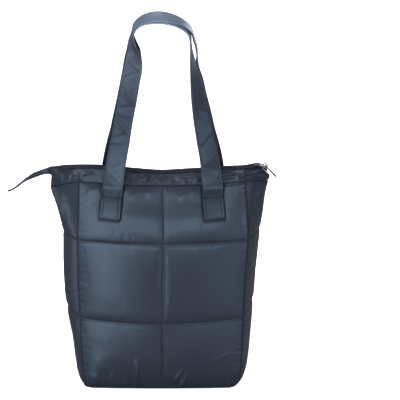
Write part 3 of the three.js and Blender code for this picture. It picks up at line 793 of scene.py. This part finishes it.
def tab_mask(strap, x, z):
    """One inside the sewn end of a strap, falling to nothing round it."""
    aside = np.maximum(np.abs(np.abs(x) - tab_middle(strap, z)) - STRAP_WIDTH / 2, 0)
    below = np.maximum(TAB_LOW - z, 0)
    return 1 - smooth(0.3, TAB_DIP, np.hypot(aside, below))


def seam_puckers(seed):
    """Short puckers that run from the sewn lines of a panel into its pillows, over x and z."""
    random = np.random.default_rng(seed)
    folds = []
    for name, end in (("left", -1), ("right", 1)):
        z = 14.0
        while z < TOP_SEAM - 12:
            seam = end * SECTIONS.at(name, z)
            reach = random.uniform(6, 15)
            rise = random.uniform(-2, 4)
            width = random.uniform(1.5, 2.2)
            size = random.uniform(0.2, 0.6)
            folds.append((seam, z, seam - end * reach, z + rise, width, size))
            z += random.uniform(6, 12)
    for level in QUILT_LEVELS[1:3]:
        x = -116.0
        while x < 116:
            for way in (-1, 1):
                reach = way * random.uniform(6, 15)
                run = random.uniform(-2, 2)
                width = random.uniform(1.6, 2.4)
                size = random.uniform(0.1, 0.45)
                folds.append((x, level, x + run, level + reach, width, size))
            x += random.uniform(7, 14)
    return folds


def quilted_panel(strap):
    """Front or back panel: two columns of three pillows, pressed in under the sewn strap ends."""
    side = strap["side"]
    shares = between((-1, 0, 1), GRID_STEP / PANEL_HALF, GRID_NEAR / PANEL_HALF)
    across, z = np.meshgrid(shares, LEVELS)
    flat = panel_point(side, across, z, 0)
    press_and_shade = tab_mask(strap, flat[..., 0], z)
    puff = panel_puff(across, z) - TAB_SINK * press_and_shade
    start = panel_point(side, across, z, puff)
    lines = line_marks(z.shape, [0, *nearest(LEVELS, QUILT_LEVELS[1:])], nearest(shares, (-1, 0, 1)))
    sewn = lines | (press_and_shade > 0.9)
    settled = settle(start, sewn, side > 0, strap["panel_seed"])
    hold = smooth(0, 12, z) * smooth(0, 4, TOP_SEAM - z) * (1 - press_and_shade)
    folds = LOWER_GATHERS + UPPER_PUCKERS + seam_puckers(strap["panel_seed"])
    settled = creased(settled, settled[..., 0], z, folds, -side, hold)
    _, from_line = row_share(z)
    middle = np.minimum(np.abs(across), 1 - np.abs(across)) * panel_width(z) / 2
    outer = (1 - np.abs(across)) * panel_width(z) / 2
    # Seam mark: darker seam lines, partly dense sewn cloth and partly painted shade in their grooves; painted
    # shade round and under the sewn strap ends; painted shade darkening the cloth towards the base.
    seam = bell(np.minimum(np.minimum(from_line, middle), outer / OUTER_SEAM), SEAM_WIDTH)
    seam = np.maximum(seam, 0.9 * smooth(0.35, 0.8, press_and_shade))
    seam = np.maximum(seam, BASE_SHADE * (1 - smooth(0, BASE_SHADE_HEIGHT, z)))
    inner = tuck(panel_point(side, across, z, 0), 1, WALL)
    inner[..., 2] += WALL * (1 - smooth(0, INNER_RISE, z))
    name = facing(side) + "_panel"
    panel = cloth_wall(name + "_cloth", settled, inner, nylon, side > 0, seam)
    finish_piece(panel, "nylon", name)
    return settled, shares


def quilted_gusset(side):
    """Padded side panel, gathered under the band."""
    shares = between((-1, 1), GRID_STEP / GUSSET_HALF, GRID_NEAR / GUSSET_HALF)
    across, z = np.meshgrid(shares, LEVELS)
    start = gusset_point(side, across, z, gusset_puff(across, z))
    lines = nearest(LEVELS, QUILT_LEVELS[1:])
    sewn = line_marks(z.shape, [0, *lines], [0, -1])
    settled = settle(start, sewn, side < 0, GUSSET_SEEDS[side])
    _, from_line = row_share(z)
    from_seam = (1 - np.abs(across)) * SECTIONS.at("depth", z)
    hold = smooth(0, 4, np.minimum(from_line, from_seam))
    settled = creased(settled, settled[..., 1], z, GUSSET_FOLDS, side, hold)
    # Seam mark: darker seam lines, partly dense sewn cloth and partly painted shade in their grooves.
    seam = bell(np.minimum(from_line, from_seam / OUTER_SEAM), SEAM_WIDTH)
    inner = tuck(gusset_point(side, across, z, np.minimum(gusset_puff(across, z), 0)), 0, WALL)
    inner[..., 2] += WALL * (1 - smooth(0, INNER_RISE, z))
    name = ending(side) + "_gusset"
    gusset = cloth_wall(name + "_cloth", settled, inner, nylon, side < 0, seam)
    finish_piece(gusset, "nylon", name)
    return settled, shares


def base_sheet():
    """Flat padded bottom, a little hollow round its seam."""
    left, right, depth, bulge = (SECTIONS.at(name, 0) for name in ("left", "right", "depth", "bulge"))
    x = between((-left + BASE_GAP, right - BASE_GAP), BASE_STEP, GRID_NEAR)
    y = between((-1, 1), BASE_STEP / depth, GRID_NEAR / depth)
    across, share = np.meshgrid(x, y)
    half = depth - BASE_GAP + bulge * (1 - ((2 * across + left - right) / (left + right)) ** 2)
    from_edge = np.minimum(np.minimum(across - x[0], x[-1] - across), (1 - np.abs(share)) * half)
    lower = stack(across, share * half, BASE_HOLLOW * np.exp(-from_edge / 3))
    upper = stack(across * 0.98, share * half * 0.96, WALL + 0.6)
    # Seam mark: darker seam line, partly dense sewn cloth and partly painted shade in its groove.
    seam = bell(from_edge, OUTER_SEAM)
    base = cloth_wall("base_panel_cloth", lower, upper, nylon, True, seam)
    finish_piece(base, "nylon", "base_panel")


# Top band
def ridge_height(x):
    return RIDGE.at("z", x)


def band_foot(side, inset, panel_shares, gusset_shares):
    def shrunk(points, middle_axis):
        points = points.copy()
        points[..., middle_axis] -= np.sign(points[..., middle_axis]) * inset
        return points

    ends = []
    for end in (-1, 1):
        corner = gusset_point(end, side * gusset_shares, TOP_SEAM, 0)
        corner[..., 1] = side * np.maximum(np.abs(corner[..., 1]) - inset * gusset_shares, 0.3)
        ends.append(shrunk(corner, 0))
    panel = shrunk(panel_point(side, panel_shares, TOP_SEAM, 0), 1)
    return np.concatenate((ends[0][:-1], panel, ends[1][::-1][1:]))


def band_edge(side, share):
    half = mix(BAND_SLOT, BAND_TIP, np.abs(share) ** SLOT_POWER)
    x = share * np.where(share < 0, BAND_LEFT, BAND_RIGHT)
    return stack(x, side * half, ridge_height(x) - BAND_DIP * smooth(BAND_DIP_START, BAND_RIGHT, x))


def band_rise(foot, edge, share):
    """Grid of points from the foot to the edge, rounding over inwards."""
    share = share[:, None]
    inward = mix(share, 1 - np.cos(share * np.pi / 2), BAND_ROUND)
    upward = mix(share, np.sin(share * np.pi / 2), BAND_ROUND)
    swell = BAND_END_SWELL * smooth(BAND_DIP_START, BAND_RIGHT, foot[:, 0]) * np.sin(share * np.pi)
    x = mix(foot[:, 0], edge[:, 0], inward) + swell
    return stack(x, mix(foot[:, 1], edge[:, 1], inward), mix(foot[:, 2], edge[:, 2], upward))


def band_crinkles(seed):
    """Small slanting crinkles all over the band, over x and the height above its seam."""
    random = np.random.default_rng(seed)
    folds = []
    for x in np.arange(CRINKLE_START, CRINKLE_END, CRINKLE_STEP):
        height = random.uniform(2, 16)
        run = random.uniform(-7, 7)
        rise = random.uniform(-4, 4)
        width = random.uniform(1.2, 2.2)
        folds.append((x, height, x + run, height + rise, width, random.uniform(-1.1, 1.1)))
    return folds


def band(side):
    """Plain strip from the top seam to the zip, folded where it is gathered at its two ends."""
    panel_shares = spaced(-1, 1, GRID_STEP / PANEL_HALF)
    gusset_shares = spaced(0, 1, GRID_STEP / GUSSET_HALF)
    foot = band_foot(side, 0, panel_shares, gusset_shares)
    share = foot[:, 0] / np.where(foot[:, 0] < 0, -foot[0, 0], foot[-1, 0])
    edge = band_edge(side, share)
    rows = spaced(0, 1, 1 / BAND_ROWS)
    foot[:, 2] += BAND_LIFT
    plain = band_rise(foot, edge, rows)
    across, rise = np.meshgrid(foot[:, 0], rows)
    hold = np.sqrt(np.sin(np.pi * np.clip(rise, 0, 1))) * smooth(0, 0.02, 1 - np.abs(share))
    folds = BAND_FOLDS + band_crinkles(BAND_SEEDS[side])
    folded = creased(plain, across, rise * BAND_HEIGHT, folds, -side, hold)
    inner_foot = band_foot(side, BAND_INSET, panel_shares, gusset_shares)
    inner_edge = edge - stack(np.sign(edge[:, 0]) * WALL * smooth(0.9, 1, np.abs(share)), 0, WALL)
    inner = band_rise(inner_foot, inner_edge, rows)
    # Seam mark: darker seam line, partly dense sewn cloth and partly painted shade in its groove.
    seam = bell(rise * BAND_HEIGHT, SEAM_WIDTH)
    name = facing(side) + "_band"
    piece = cloth_wall(name + "_cloth", folded, inner, nylon, side > 0, seam)
    finish_piece(piece, "nylon", name)


# Strips: a rounded flat profile swept through stations
def swept(name, middle, across, up, width, thick, material, flat, lift=None, dark_lines_and_shade=None, under=0):
    """Closed strip. middle, across, up: one row a station. flat: places across it, from -1 to 1.

    lift: height added over its upper and lower side. groove: how dark a place is, from dark sewn lines and
    from painted shade.
    under: how much painted shade darkens its lower side.
    """
    count = len(middle)
    turn = np.radians(np.linspace(-90, 90, 5)[1:-1])
    top = stack(flat, 1, 0)
    right = stack(1, np.sin(turn[::-1]), np.cos(turn))
    bottom = stack(flat[::-1], -1, 0)
    left = stack(-1, np.sin(turn), -np.cos(turn))
    ring = np.concatenate((top, right, bottom, left))
    size = len(ring)
    half_w = (np.broadcast_to(width, count) / 2)[:, None]
    half_t = (np.broadcast_to(thick, count) / 2)[:, None]
    a = ring[:, 0] * (half_w - half_t) + ring[:, 2] * half_t
    u = ring[:, 1] * half_t
    share = np.clip(ring[:, 0], -1, 1)
    if lift is not None:
        u = u + lift(share)
    marks = None
    if dark_lines_and_shade is not None:
        # The lower side takes painted shade, as dark as under says.
        marks = np.maximum(np.broadcast_to(dark_lines_and_shade(share), (count, size)), under * (ring[:, 1] < -0.8))
    points = middle[:, None] + across[:, None] * a[..., None] + up[:, None] * u[..., None]
    at = np.arange(count * size).reshape(count, size)
    ahead = np.roll(at, -1, axis=1)
    faces = np.stack((at[:-1], ahead[:-1], ahead[1:], at[1:]), axis=-1).reshape(-1, 4).tolist()
    faces.append(at[0, ::-1].tolist())
    faces.append(at[-1].tolist())
    along = lengths_along(middle)
    uv = stack(a * MM, along[:, None] * MM, 0)[..., :2]
    return mesh_object(name, to_frame(points).reshape(-1, 3), faces, material, uv, marks)


# Straps
def plain_puff(share, z):
    """Height of the plain pillows that the strap ends lie on."""
    column = np.where(share < 0, share + 1, share)
    rise, _ = row_share(z)
    return TAB_PILLOW * pillow(column) * pillow(rise)


def sewn_path(strap, end):
    """Middle line and side direction of one sewn end of a strap."""
    z = spaced(TAB_LOW, TAB_HIGH, STRAP_STEP)
    left, right = SECTIONS.at("left", z), SECTIONS.at("right", z)

    def surface(x):
        """Points on the pressed panel, at distances right of the middle of the bag."""
        share = 2 * (x + left) / (left + right) - 1
        return panel_point(strap["side"], share, z, plain_puff(share, z) - TAB_PRESS)

    x = end * tab_middle(strap, z)
    across = unit(surface(x + TAB_PROBE) - surface(x - TAB_PROBE))
    along = directions(surface(x))
    up = unit(np.cross(across, along)) * -strap["side"]
    return surface(x) + up * STRAP_THICK / 2, across * -strap["side"] * end


def free_path(strap):
    """Middle line and side direction of a strap between its sewn ends, over the crown."""
    z = spaced(STRAP_LEGS.rows[0, 0], HANG_HEIGHT - ARCH_RISE, STRAP_STEP)
    angle = spaced(0, np.pi, ARCH_STEP)[1:-1]
    height = np.sin(angle)
    ahead = np.cos(angle)
    apart = STRAP_LEGS.at("apart", z)
    legs, turns = {}, {}
    for end in (-1, 1):
        name = ending(end)
        out = STRAP_LEGS.at(name, z) + strap["spread"] * STRAP_LEGS.at(name + "_spread", z)
        legs[end] = stack(end * out, strap["side"] * apart, z)
        turns[end] = STRAP_LEGS.at(name + "_turn", z)
    turns[1] = turns[1] + strap["spread"] * STRAP_LEGS.at("right_more", z)
    span = np.sign(ahead) * np.abs(ahead) ** np.where(ahead > 0, ARCH_FULL, ARCH_SLACK)
    rise = ARCH_RISE - ARCH_SINK + STRAP_THICK / 2 + strap["spread"] * CROWN_SPREAD
    arch = stack(
        mix(legs[-1][-1, 0], legs[1][-1, 0], (1 - span) / 2) - ARCH_LEAN * height**2,
        strap["side"] * mix(apart[-1], CROWN_APART, height),
        HANG_HEIGHT - ARCH_RISE + rise * height,
    )
    foot_turn = np.where(ahead > 0, turns[-1][-1], turns[1][-1])
    arch_turn = mix(foot_turn, 90, smooth(0, ARCH_TURN_END, height))
    middle = np.concatenate((legs[-1], arch, legs[1][::-1]))
    turn = np.radians(np.concatenate((turns[-1], arch_turn, turns[1][::-1])))
    tilt = np.concatenate((0 * z, ARCH_TILT * height**2, 0 * z))
    outward = np.sign(middle[:, 0]) * -strap["side"] * np.cos(turn)
    return middle, stack(outward, np.sin(turn), np.tan(tilt))


def strap_stations(strap):
    """Middle line of a whole strap, with its side and its upward directions."""
    ends = [sewn_path(strap, end) for end in (-1, 1)]
    free_middle, free_across = free_path(strap)
    middle = np.concatenate((ends[0][0], free_middle, ends[1][0][::-1]))
    across = np.concatenate((ends[0][1], free_across, ends[1][1][::-1]))
    middle = smoothed(middle, STRAP_SMOOTHING)
    along = directions(middle)
    square = across - along * np.sum(across * along, axis=1, keepdims=True)
    across = unit(smoothed(square, STRAP_SMOOTHING))
    return middle, across, np.cross(along, across)


def stitch_share(from_end):
    """Place of the edge stitches across a strap, further in on its sewn ends."""
    tab_length = TAB_HIGH - TAB_LOW
    return mix(TAB_STITCH, EDGE_STITCH, smooth(tab_length, tab_length + 25, from_end))


def strap_creases(strap):
    """Creases of both legs: the large ones, and small ones between them."""
    random = np.random.default_rng(strap["seed"])
    legs = []
    for large, share in ((LEFT_CREASES, 0.5), (RIGHT_CREASES, 0.25)):
        small = []
        for _ in range(SMALL_CREASES):
            place = random.uniform(310, 525)
            slant = random.uniform(-14, 14)
            width = random.uniform(1.2, 2.0)
            small.append((place, slant, width, share * random.uniform(-1, 1)))
        legs.append(large + small)
    return legs


def strap_piece(strap):
    """Flat folded strap, stitched along both edges and creased on its legs."""
    middle, across, up = strap_stations(strap)
    length = lengths_along(middle)
    total = length[-1]
    from_end = np.minimum(length, total - length)[:, None]
    short = np.maximum(TAB_CORNER - from_end[:, 0], 0)
    width = STRAP_WIDTH - 2 * (TAB_CORNER - np.sqrt(np.maximum(TAB_CORNER**2 - short**2, 0)))
    tab_length = TAB_HIGH - TAB_LOW
    crown = smooth(total / 2 - CROWN_START, total / 2 - CROWN_FULL, from_end)
    height_on_leg = middle[:, 2][:, None]
    on_left = middle[:, 0][:, None] < 0
    left_creases, right_creases = strap_creases(strap)
    line_at = stitch_share(from_end)
    above_tab = from_end - tab_length
    fold = bell(above_tab - FOLD_PLACE, FOLD_WIDTH)
    bend = smooth(0, BEND_RISE, above_tab) * np.exp(-np.maximum(above_tab - BEND_RISE, 0) / BEND_FADE)

    def sewn_lines(share):
        edges = bell(np.abs(share) - line_at, LINE_SHARE) * (from_end > TAB_INSET)
        ends = sum(bell(from_end - place, LINE_WIDTH) for place in (TAB_INSET, tab_length))
        return np.clip(edges + ends * (np.abs(share) < line_at), 0, 1)

    def lift(share):
        height = LEG_CUP * share**2 * smooth(30, 60, from_end) * (1 - crown) + CROWN_CUP * share**2 * crown
        height = height - LINE_DEPTH * sewn_lines(share) - FOLD_DEPTH * fold + TAB_BEND * bend
        for on_leg, creases in ((on_left, left_creases), (~on_left, right_creases)):
            for place, slant, spread, size in creases:
                crease = size * bell(height_on_leg - place - slant * share, spread)
                height = height + crease * on_leg * (1 - crown) * (1 - 0.75 * share**2)
        return height

    # Colour mark of the strap: dark stitch lines, painted shade in the fold above each sewn end, and painted
    # shade on the strap for a short way above it.
    def dark_lines_and_shade(share):
        on_tab = 1 - smooth(tab_length + 1, tab_length + 6, from_end)
        press_and_shade = 0.4 * smooth(0, 3, above_tab) * (1 - smooth(10, 20, above_tab))
        return np.clip(mix(0.35, 1, on_tab) * sewn_lines(share) + 0.9 * fold + press_and_shade, 0, 1)

    near_edge = np.linspace(TAB_STITCH - 0.13, 1, 15)
    flat = np.concatenate((-near_edge[::-1], np.linspace(-0.6, 0.6, 13), near_edge))
    name = strap["node"] + "_cloth"
    piece = swept(name, middle, across, up, width, STRAP_THICK, strap_nylon, flat, lift, dark_lines_and_shade, UNDERSIDE_SHADE)
    finish_piece(piece, "strap_cloth", strap["node"])
    panel = facing(strap["side"]) + "_panel_cloth"
    return middle, across, up, length


# Zip
def ridge_path(x, y):
    middle = stack(x, y, ridge_height(x) + TAPE_LIFT)
    along = directions(middle)
    across = np.broadcast_to((0.0, 1.0, 0.0), middle.shape)
    return middle, across, np.cross(along, across)


def zip_tape(side):
    x = spaced(ZIP_LEFT, ZIP_RIGHT, ZIP_STEP)
    middle, across, up = ridge_path(x, side * (TAPE_INNER + TAPE_OUTER) / 2)
    name = "zip_tape_" + facing(side)
    width = TAPE_OUTER - TAPE_INNER
    tape = swept(name + "_woven", middle, across, up, width, TAPE_THICK, tape_cloth, TAPE_PROFILE)
    finish_piece(tape, "zip_tape", name)


def rounded_block(half):
    """Block of the given half sizes, with each corner cut off between three points."""
    corners = list(itertools.product((-1, 1), repeat=3))
    points = []
    for corner, axis in itertools.product(corners, range(3)):
        cut = np.full(3, TOOTH_CUT)
        cut[axis] = 1
        points.append(np.multiply(corner, half) * cut)

    def index(axis, signs, owner):
        """Number of the point on the owner's side of a corner. signs: its place, from the given axis on."""
        return 3 * corners.index(tuple(np.roll(signs, axis))) + owner

    faces = []
    for axis, sign in itertools.product(range(3), (-1, 1)):
        beside = (axis + 1) % 3
        ring = [index(axis, (sign, *pair), axis) for pair in ((-1, -1), (1, -1), (1, 1), (-1, 1))]
        faces.append(ring[::sign])
        for way in (-1, 1):
            ends = ((-1, axis), (1, axis), (1, beside), (-1, beside))
            strip = [index(axis, (sign, way, end), owner) for end, owner in ends]
            faces.append(strip[:: -sign * way])
    for number, corner in enumerate(corners):
        faces.append([3 * number, 3 * number + 1, 3 * number + 2][:: math.prod(corner)])
    return np.array(points), faces


def copies(name, shape, places, axes, material):
    """One mesh of many copies of a small shape. axes: three rows of directions for each place."""
    points, faces = shape
    placed = places[:, None] + np.einsum("pk,nkc->npc", points, axes)
    count = len(points)
    every = [[corner + copy * count for corner in face] for copy in range(len(places)) for face in faces]
    return mesh_object(name, to_frame(placed).reshape(-1, 3), every, material)


def zip_teeth():
    x = np.arange(TEETH_LEFT + 1, TEETH_RIGHT - 1, TOOTH_PITCH)
    side = np.where(np.arange(len(x)) % 2 == 0, -1, 1)
    middle, across, up = ridge_path(x, 0 * x)
    along = directions(middle)
    places = middle + across * (side * TOOTH_STAGGER)[:, None]
    axes = np.stack((along, across, up), axis=1)
    teeth = copies("zip_teeth_row", rounded_block(TOOTH_HALF), places, axes, teeth_plastic)
    finish_piece(teeth, "zip_teeth", "zip_teeth")


def bevelled_copy(node, body, name):
    """A hard piece of the frame with its sharp edges broken."""
    piece = bpy.data.objects.new(name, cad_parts[node].data.copy())
    bpy.context.scene.collection.objects.link(piece)
    weld = piece.modifiers.new("weld", "WELD")
    weld.merge_threshold = 1e-6
    edge = piece.modifiers.new("edge", "BEVEL")
    edge.width = METAL_EDGE * MM
    edge.segments = 2
    edge.limit_method = "ANGLE"
    edge.angle_limit = METAL_EDGE_ANGLE
    piece.data.materials.clear()
    piece.data.materials.append(zip_metal)
    finish_piece(piece, "zip_metal", node, body=body)


# Zip tail
def tail_path(x):
    middle = stack(x, 0, TAIL.at("z", x))
    along = directions(middle)
    flat_share = 1 - smooth(0, 20, TAIL.at("fold", x))
    roll = np.radians(TAIL.at("roll", x) * flat_share)[:, None]
    flat = np.broadcast_to((0.0, 1.0, 0.0), middle.shape)
    across = flat * np.cos(roll) + np.cross(along, flat) * np.sin(roll)
    return middle, across, np.cross(along, across)


def zip_tail():
    """Loose end of the zip: folded down beside the dark zip line, then flat towards its end."""
    x = spaced(TAIL_END, TAIL_ROOT, TAIL_STEP)
    middle, across, up = tail_path(x)
    lengthwise = np.abs(x - TAIL_ROOT)[:, None]
    fold = np.radians(TAIL.at("fold", x))
    drop = (TAIL.at("width", x) / 2 * np.sin(fold))[:, None]

    def lift(share):
        roof = -drop * (np.sqrt(share**2 + 0.004) - 0.06)
        hem = 0.3 * bell(np.abs(share) - TAIL_HEM, 0.06)
        return roof - hem + 0.3 * np.sin(share * 5 + lengthwise * 0.16) * smooth(0, 12, lengthwise)

    def dark_lines_and_shade(share):
        hem = 0.5 * bell(np.abs(share) - TAIL_HEM, 0.05)
        return np.clip(bell(share, 0.14) + hem, 0, 1) + 0 * lengthwise

    width = TAIL.at("width", x) * np.cos(fold)
    tail = swept(
        "zip_tail_cloth", middle, across, up, width, TAIL_THICK, strap_nylon, TAIL_PROFILE, lift, dark_lines_and_shade
    )
    finish_piece(tail, "strap_cloth", "zip_tail")


def tail_cap():
    """Folded cloth cap, sewn over the end of the tail."""
    x = spaced(TAIL_END - CAP_OVERHANG, TAIL_TAB_START, TAIL_STEP)
    middle, across, up = tail_path(x)
    from_mouth = np.abs(x - TAIL_TAB_START)[:, None]

    def seam(share):
        sides = bell(np.abs(share) - CAP_SIDE_SEAM, 0.06)
        return np.clip(sides + bell(from_mouth - CAP_MOUTH_SEAM, 0.8), 0, 1)

    def lift(share):
        return -0.2 * seam(share)

    width = TAIL.at("width", x) + CAP_GROWTH
    cap = swept("tail_tab_cloth", middle, across, up, width, CAP_THICK, strap_nylon, TAIL_PROFILE, lift, seam)
    finish_piece(cap, "strap_cloth", "tail_tab")


# Stitches along lines of points
def stitch_run(line, normal):
    """Places and axes of even stitches along a line of points, lying on a surface with that normal."""
    length = lengths_along(line)
    at = np.arange(STITCH_PITCH / 2, length[-1], STITCH_PITCH)
    upward = unit(read_rows(at, length, normal))
    along = unit(read_rows(at, length, directions(line)))
    across = unit(np.cross(upward, along))
    return read_rows(at, length, line), np.stack((along, across, np.cross(along, across)), axis=1)


def capsule():
    """Stitch lying along its first axis: a short thread with its two ends pulled down."""
    shares = np.array((-1, -0.8, -0.3, 0.3, 0.8, 1))
    radius = STITCH_RADIUS * np.array((0.35, 0.8, 1, 1, 0.8, 0.35))
    sink = STITCH_RADIUS * np.array((-0.9, -0.2, 0.2, 0.2, -0.2, -0.9))
    angle = np.linspace(0, 2 * np.pi, 7)[:-1]
    x = np.repeat(shares * STITCH_LENGTH / 2, len(angle))
    y = (radius[:, None] * np.cos(angle)).ravel()
    z = (radius[:, None] * np.sin(angle) + sink[:, None]).ravel()
    at = np.arange(len(x)).reshape(len(shares), len(angle))
    ahead = np.roll(at, -1, axis=1)
    faces = np.stack((at[:-1], at[1:], ahead[1:], ahead[:-1]), axis=-1).reshape(-1, 4).tolist()
    faces.append(at[0].tolist())
    faces.append(at[-1, ::-1].tolist())
    return stack(x, y, z), faces


def stitches(name, runs, slot):
    places = np.concatenate([run[0] for run in runs])
    axes = np.concatenate([run[1] for run in runs])
    finish_piece(copies(name, capsule(), places, axes, thread_material), slot)


def outward_runs(settled, shares, side, axis, upright):
    """Stitch lines of one quilted piece: its level quilt lines, and its middle line if it has one."""
    normal = np.zeros(3)
    normal[axis] = side
    lines = [settled[row] for row in nearest(LEVELS, QUILT_LEVELS[1:3])]
    if upright:
        lines.append(settled[:, nearest(shares, (0,))[0]])
    return [stitch_run(line + normal * STITCH_LIFT, np.broadcast_to(normal, line.shape)) for line in lines]


def along_strap(path, at, aside):
    """Points and normals on the upper side of a strap, at lengths along it and distances aside."""
    middle, across, up, length = path
    base, sideways, upward = (read_rows(at, length, rows) for rows in (middle, across, up))
    return base + sideways * aside[:, None] + upward * (STRAP_THICK / 2 - STRAP_STITCH_SINK), upward


def strap_runs(path):
    """Stitches along both edges of a strap, and across its sewn ends."""
    total = path[3][-1]
    half = (STRAP_WIDTH - STRAP_THICK) / 2
    runs = []
    at = np.linspace(TAB_INSET, total - TAB_INSET, EDGE_POINTS)
    edge = stitch_share(np.minimum(at, total - at)) * half
    for side in (-1, 1):
        runs.append(stitch_run(*along_strap(path, at, side * edge)))
    across = np.linspace(-1, 1, END_POINTS) * TAB_STITCH * half
    for place in (TAB_INSET, TAB_HIGH - TAB_LOW):
        for end in (place, total - place):
            runs.append(stitch_run(*along_strap(path, np.full(END_POINTS, end), across)))
    return runs


# Build
quilt_runs = []
for strap in STRAPS:
    quilt_runs.extend(outward_runs(*quilted_panel(strap), strap["side"], 1, True))
for side in (-1, 1):
    quilt_runs.extend(outward_runs(*quilted_gusset(side), side, 0, False))
stitches("quilt_stitches", quilt_runs, "nylon")
base_sheet()
for side in (-1, 1):
    band(side)
strap_stitches = []
for strap in STRAPS:
    strap_stitches.extend(strap_runs(strap_piece(strap)))
stitches("strap_stitches", strap_stitches, "strap_cloth")
for side in (-1, 1):
    zip_tape(side)
zip_teeth()
bevelled_copy("zip_slider", "bag", "zip_slider_metal")
bevelled_copy("zip_puller", "puller", "zip_puller_metal")
zip_tail()
tail_cap()

# Floor, light and camera
CAMERA_DISTANCE = 12
CAMERA_TILT = math.radians(15)
PIXEL = 1.5 * MM
FRAME_PIXELS = 400
BAG_PIXEL = 162.3
FLOOR_RADIUS = 17
FLOOR_SIDES = 48
FLOOR_Z = BASE_Z - 0.0015
WALL_RISE = 9
WHITE = (1, 1, 1)
COOL = (0.84, 0.93, 1)
AIM_HEIGHT = 0.28
SKY_LOW = 0.06
SKY_HIGH = 0.18
NARROW = math.radians(10)
BODY = (0, 0, BASE_Z + 0.2)
ZIP = (0, 0, -0.24)

# Name, place, aim, width and height, power, tint
AREA_LIGHTS = [
    ("key", (-0.68, -1.34, -0.3), BODY, (0.36, 1.45), 11, WHITE),
    ("front", (0.15, -1.9, 0.12), BODY, (1.3, 0.36), 9.6, WHITE),
    ("right", (1.25, 1.1, -0.65), BODY, (0.9, 0.9), 0.6, COOL),
    ("right_front", (1.05, -1.4, -0.75), BODY, (0.9, 0.6), 2.3, WHITE),
    ("right_high", (1.5, -0.95, -0.1), BODY, (0.8, 0.5), 5.4, WHITE),
    ("left", (-1.3, -1.15, -0.05), BODY, (0.7, 0.5), 4.6, WHITE),
    ("left_high", (-1.7, 0.4, 0.5), (-0.1, 0, -0.24), (0.6, 0.6), 5, WHITE),
    ("above", (-0.25, 0.72, 1.38), ZIP, (0.9, 0.5), 5.6, COOL),
    ("back", (0.4, 2.3, 0.0), BODY, (2.2, 0.7), 12, COOL),
]

# Name, place, aim, spread, blend, size, power, tint
NARROW_LIGHTS = [
    ("crown", (0, -2.0, 2.2), (0, 0, 0.25), math.radians(9), 0.2, 0.08, 2200, WHITE),
    ("left_low", (-1.56, 0.2, -0.67), (-0.14, -0.04, -0.3), NARROW, 0.8, 0.7, 250, COOL),
    ("right_low", (1.56, 0.29, -0.67), (0.145, -0.03, -0.3), NARROW, 0.8, 0.7, 60, COOL),
]

floor_material = plain_material("floor", (0.9, 0.9, 0.9), roughness=0.7, metallic=0, grain=300, glow=0.97)
turns = [2 * math.pi * k / FLOOR_SIDES for k in range(FLOOR_SIDES)]
rim = [(FLOOR_RADIUS * math.cos(turn), FLOOR_RADIUS * math.sin(turn)) for turn in turns]
floor_corners = [(x, y, FLOOR_Z + rise) for rise in (0, WALL_RISE) for x, y in rim]
floor_faces = [tuple(range(FLOOR_SIDES))]
for k in range(FLOOR_SIDES):
    after = (k + 1) % FLOOR_SIDES
    floor_faces.append((k, k + FLOOR_SIDES, after + FLOOR_SIDES, after))
floor = mesh_object("floor", floor_corners, floor_faces, floor_material)
floor.visible_diffuse = False
floor.visible_glossy = False
floor.visible_shadow = False


def aimed(name, data, place, aim):
    light = bpy.data.objects.new(name, data)
    light.location = place
    light.rotation_mode = "QUATERNION"
    light.rotation_quaternion = (Vector(aim) - Vector(place)).to_track_quat("-Z", "Y")
    bpy.context.scene.collection.objects.link(light)


def area_light(name, place, aim, size, power, tint):
    data = bpy.data.lights.new(name, "AREA")
    data.shape = "RECTANGLE"
    data.size, data.size_y = size
    data.energy = power
    data.color = tint
    aimed(name, data, place, aim)


def narrow_light(name, place, aim, spread, blend, size, power, tint):
    data = bpy.data.lights.new(name, "SPOT")
    data.spot_size = spread
    data.spot_blend = blend
    data.shadow_soft_size = size
    data.energy = power
    data.color = tint
    aimed(name, data, place, aim)


for light in AREA_LIGHTS:
    area_light(*light)
for light in NARROW_LIGHTS:
    narrow_light(*light)

# Soft surroundings, darker towards the ground
world = bpy.data.worlds.new("studio")
sky = Shading(world)
height = sky.add("SeparateXYZ", {0: sky.place["Generated"]}, "Z")
strength = sky.span(height, -0.5, 0.5, SKY_LOW, SKY_HIGH)
sky.fill(sky.nodes["Background"], {"Strength": strength, "Color": (1, 1, 1, 1)})
scene = bpy.context.scene
scene.world = world
scene.view_settings.view_transform = "Standard"

camera_data = bpy.data.cameras.new("camera")
camera_data.sensor_width = 36
camera_data.lens = camera_data.sensor_width * CAMERA_DISTANCE / (FRAME_PIXELS * PIXEL)
camera_data.shift_x = (FRAME_PIXELS / 2 - BAG_PIXEL) / FRAME_PIXELS
camera_data.clip_end = 100
camera = bpy.data.objects.new("camera", camera_data)
aim = Vector((0, 0, BASE_Z + AIM_HEIGHT))
back = Vector((0, -math.cos(CAMERA_TILT), math.sin(CAMERA_TILT)))
camera.location = aim + back * CAMERA_DISTANCE
camera.rotation_mode = "QUATERNION"
camera.rotation_quaternion = (-back).to_track_quat("-Z", "Y")
scene.collection.objects.link(camera)
scene.camera = camera
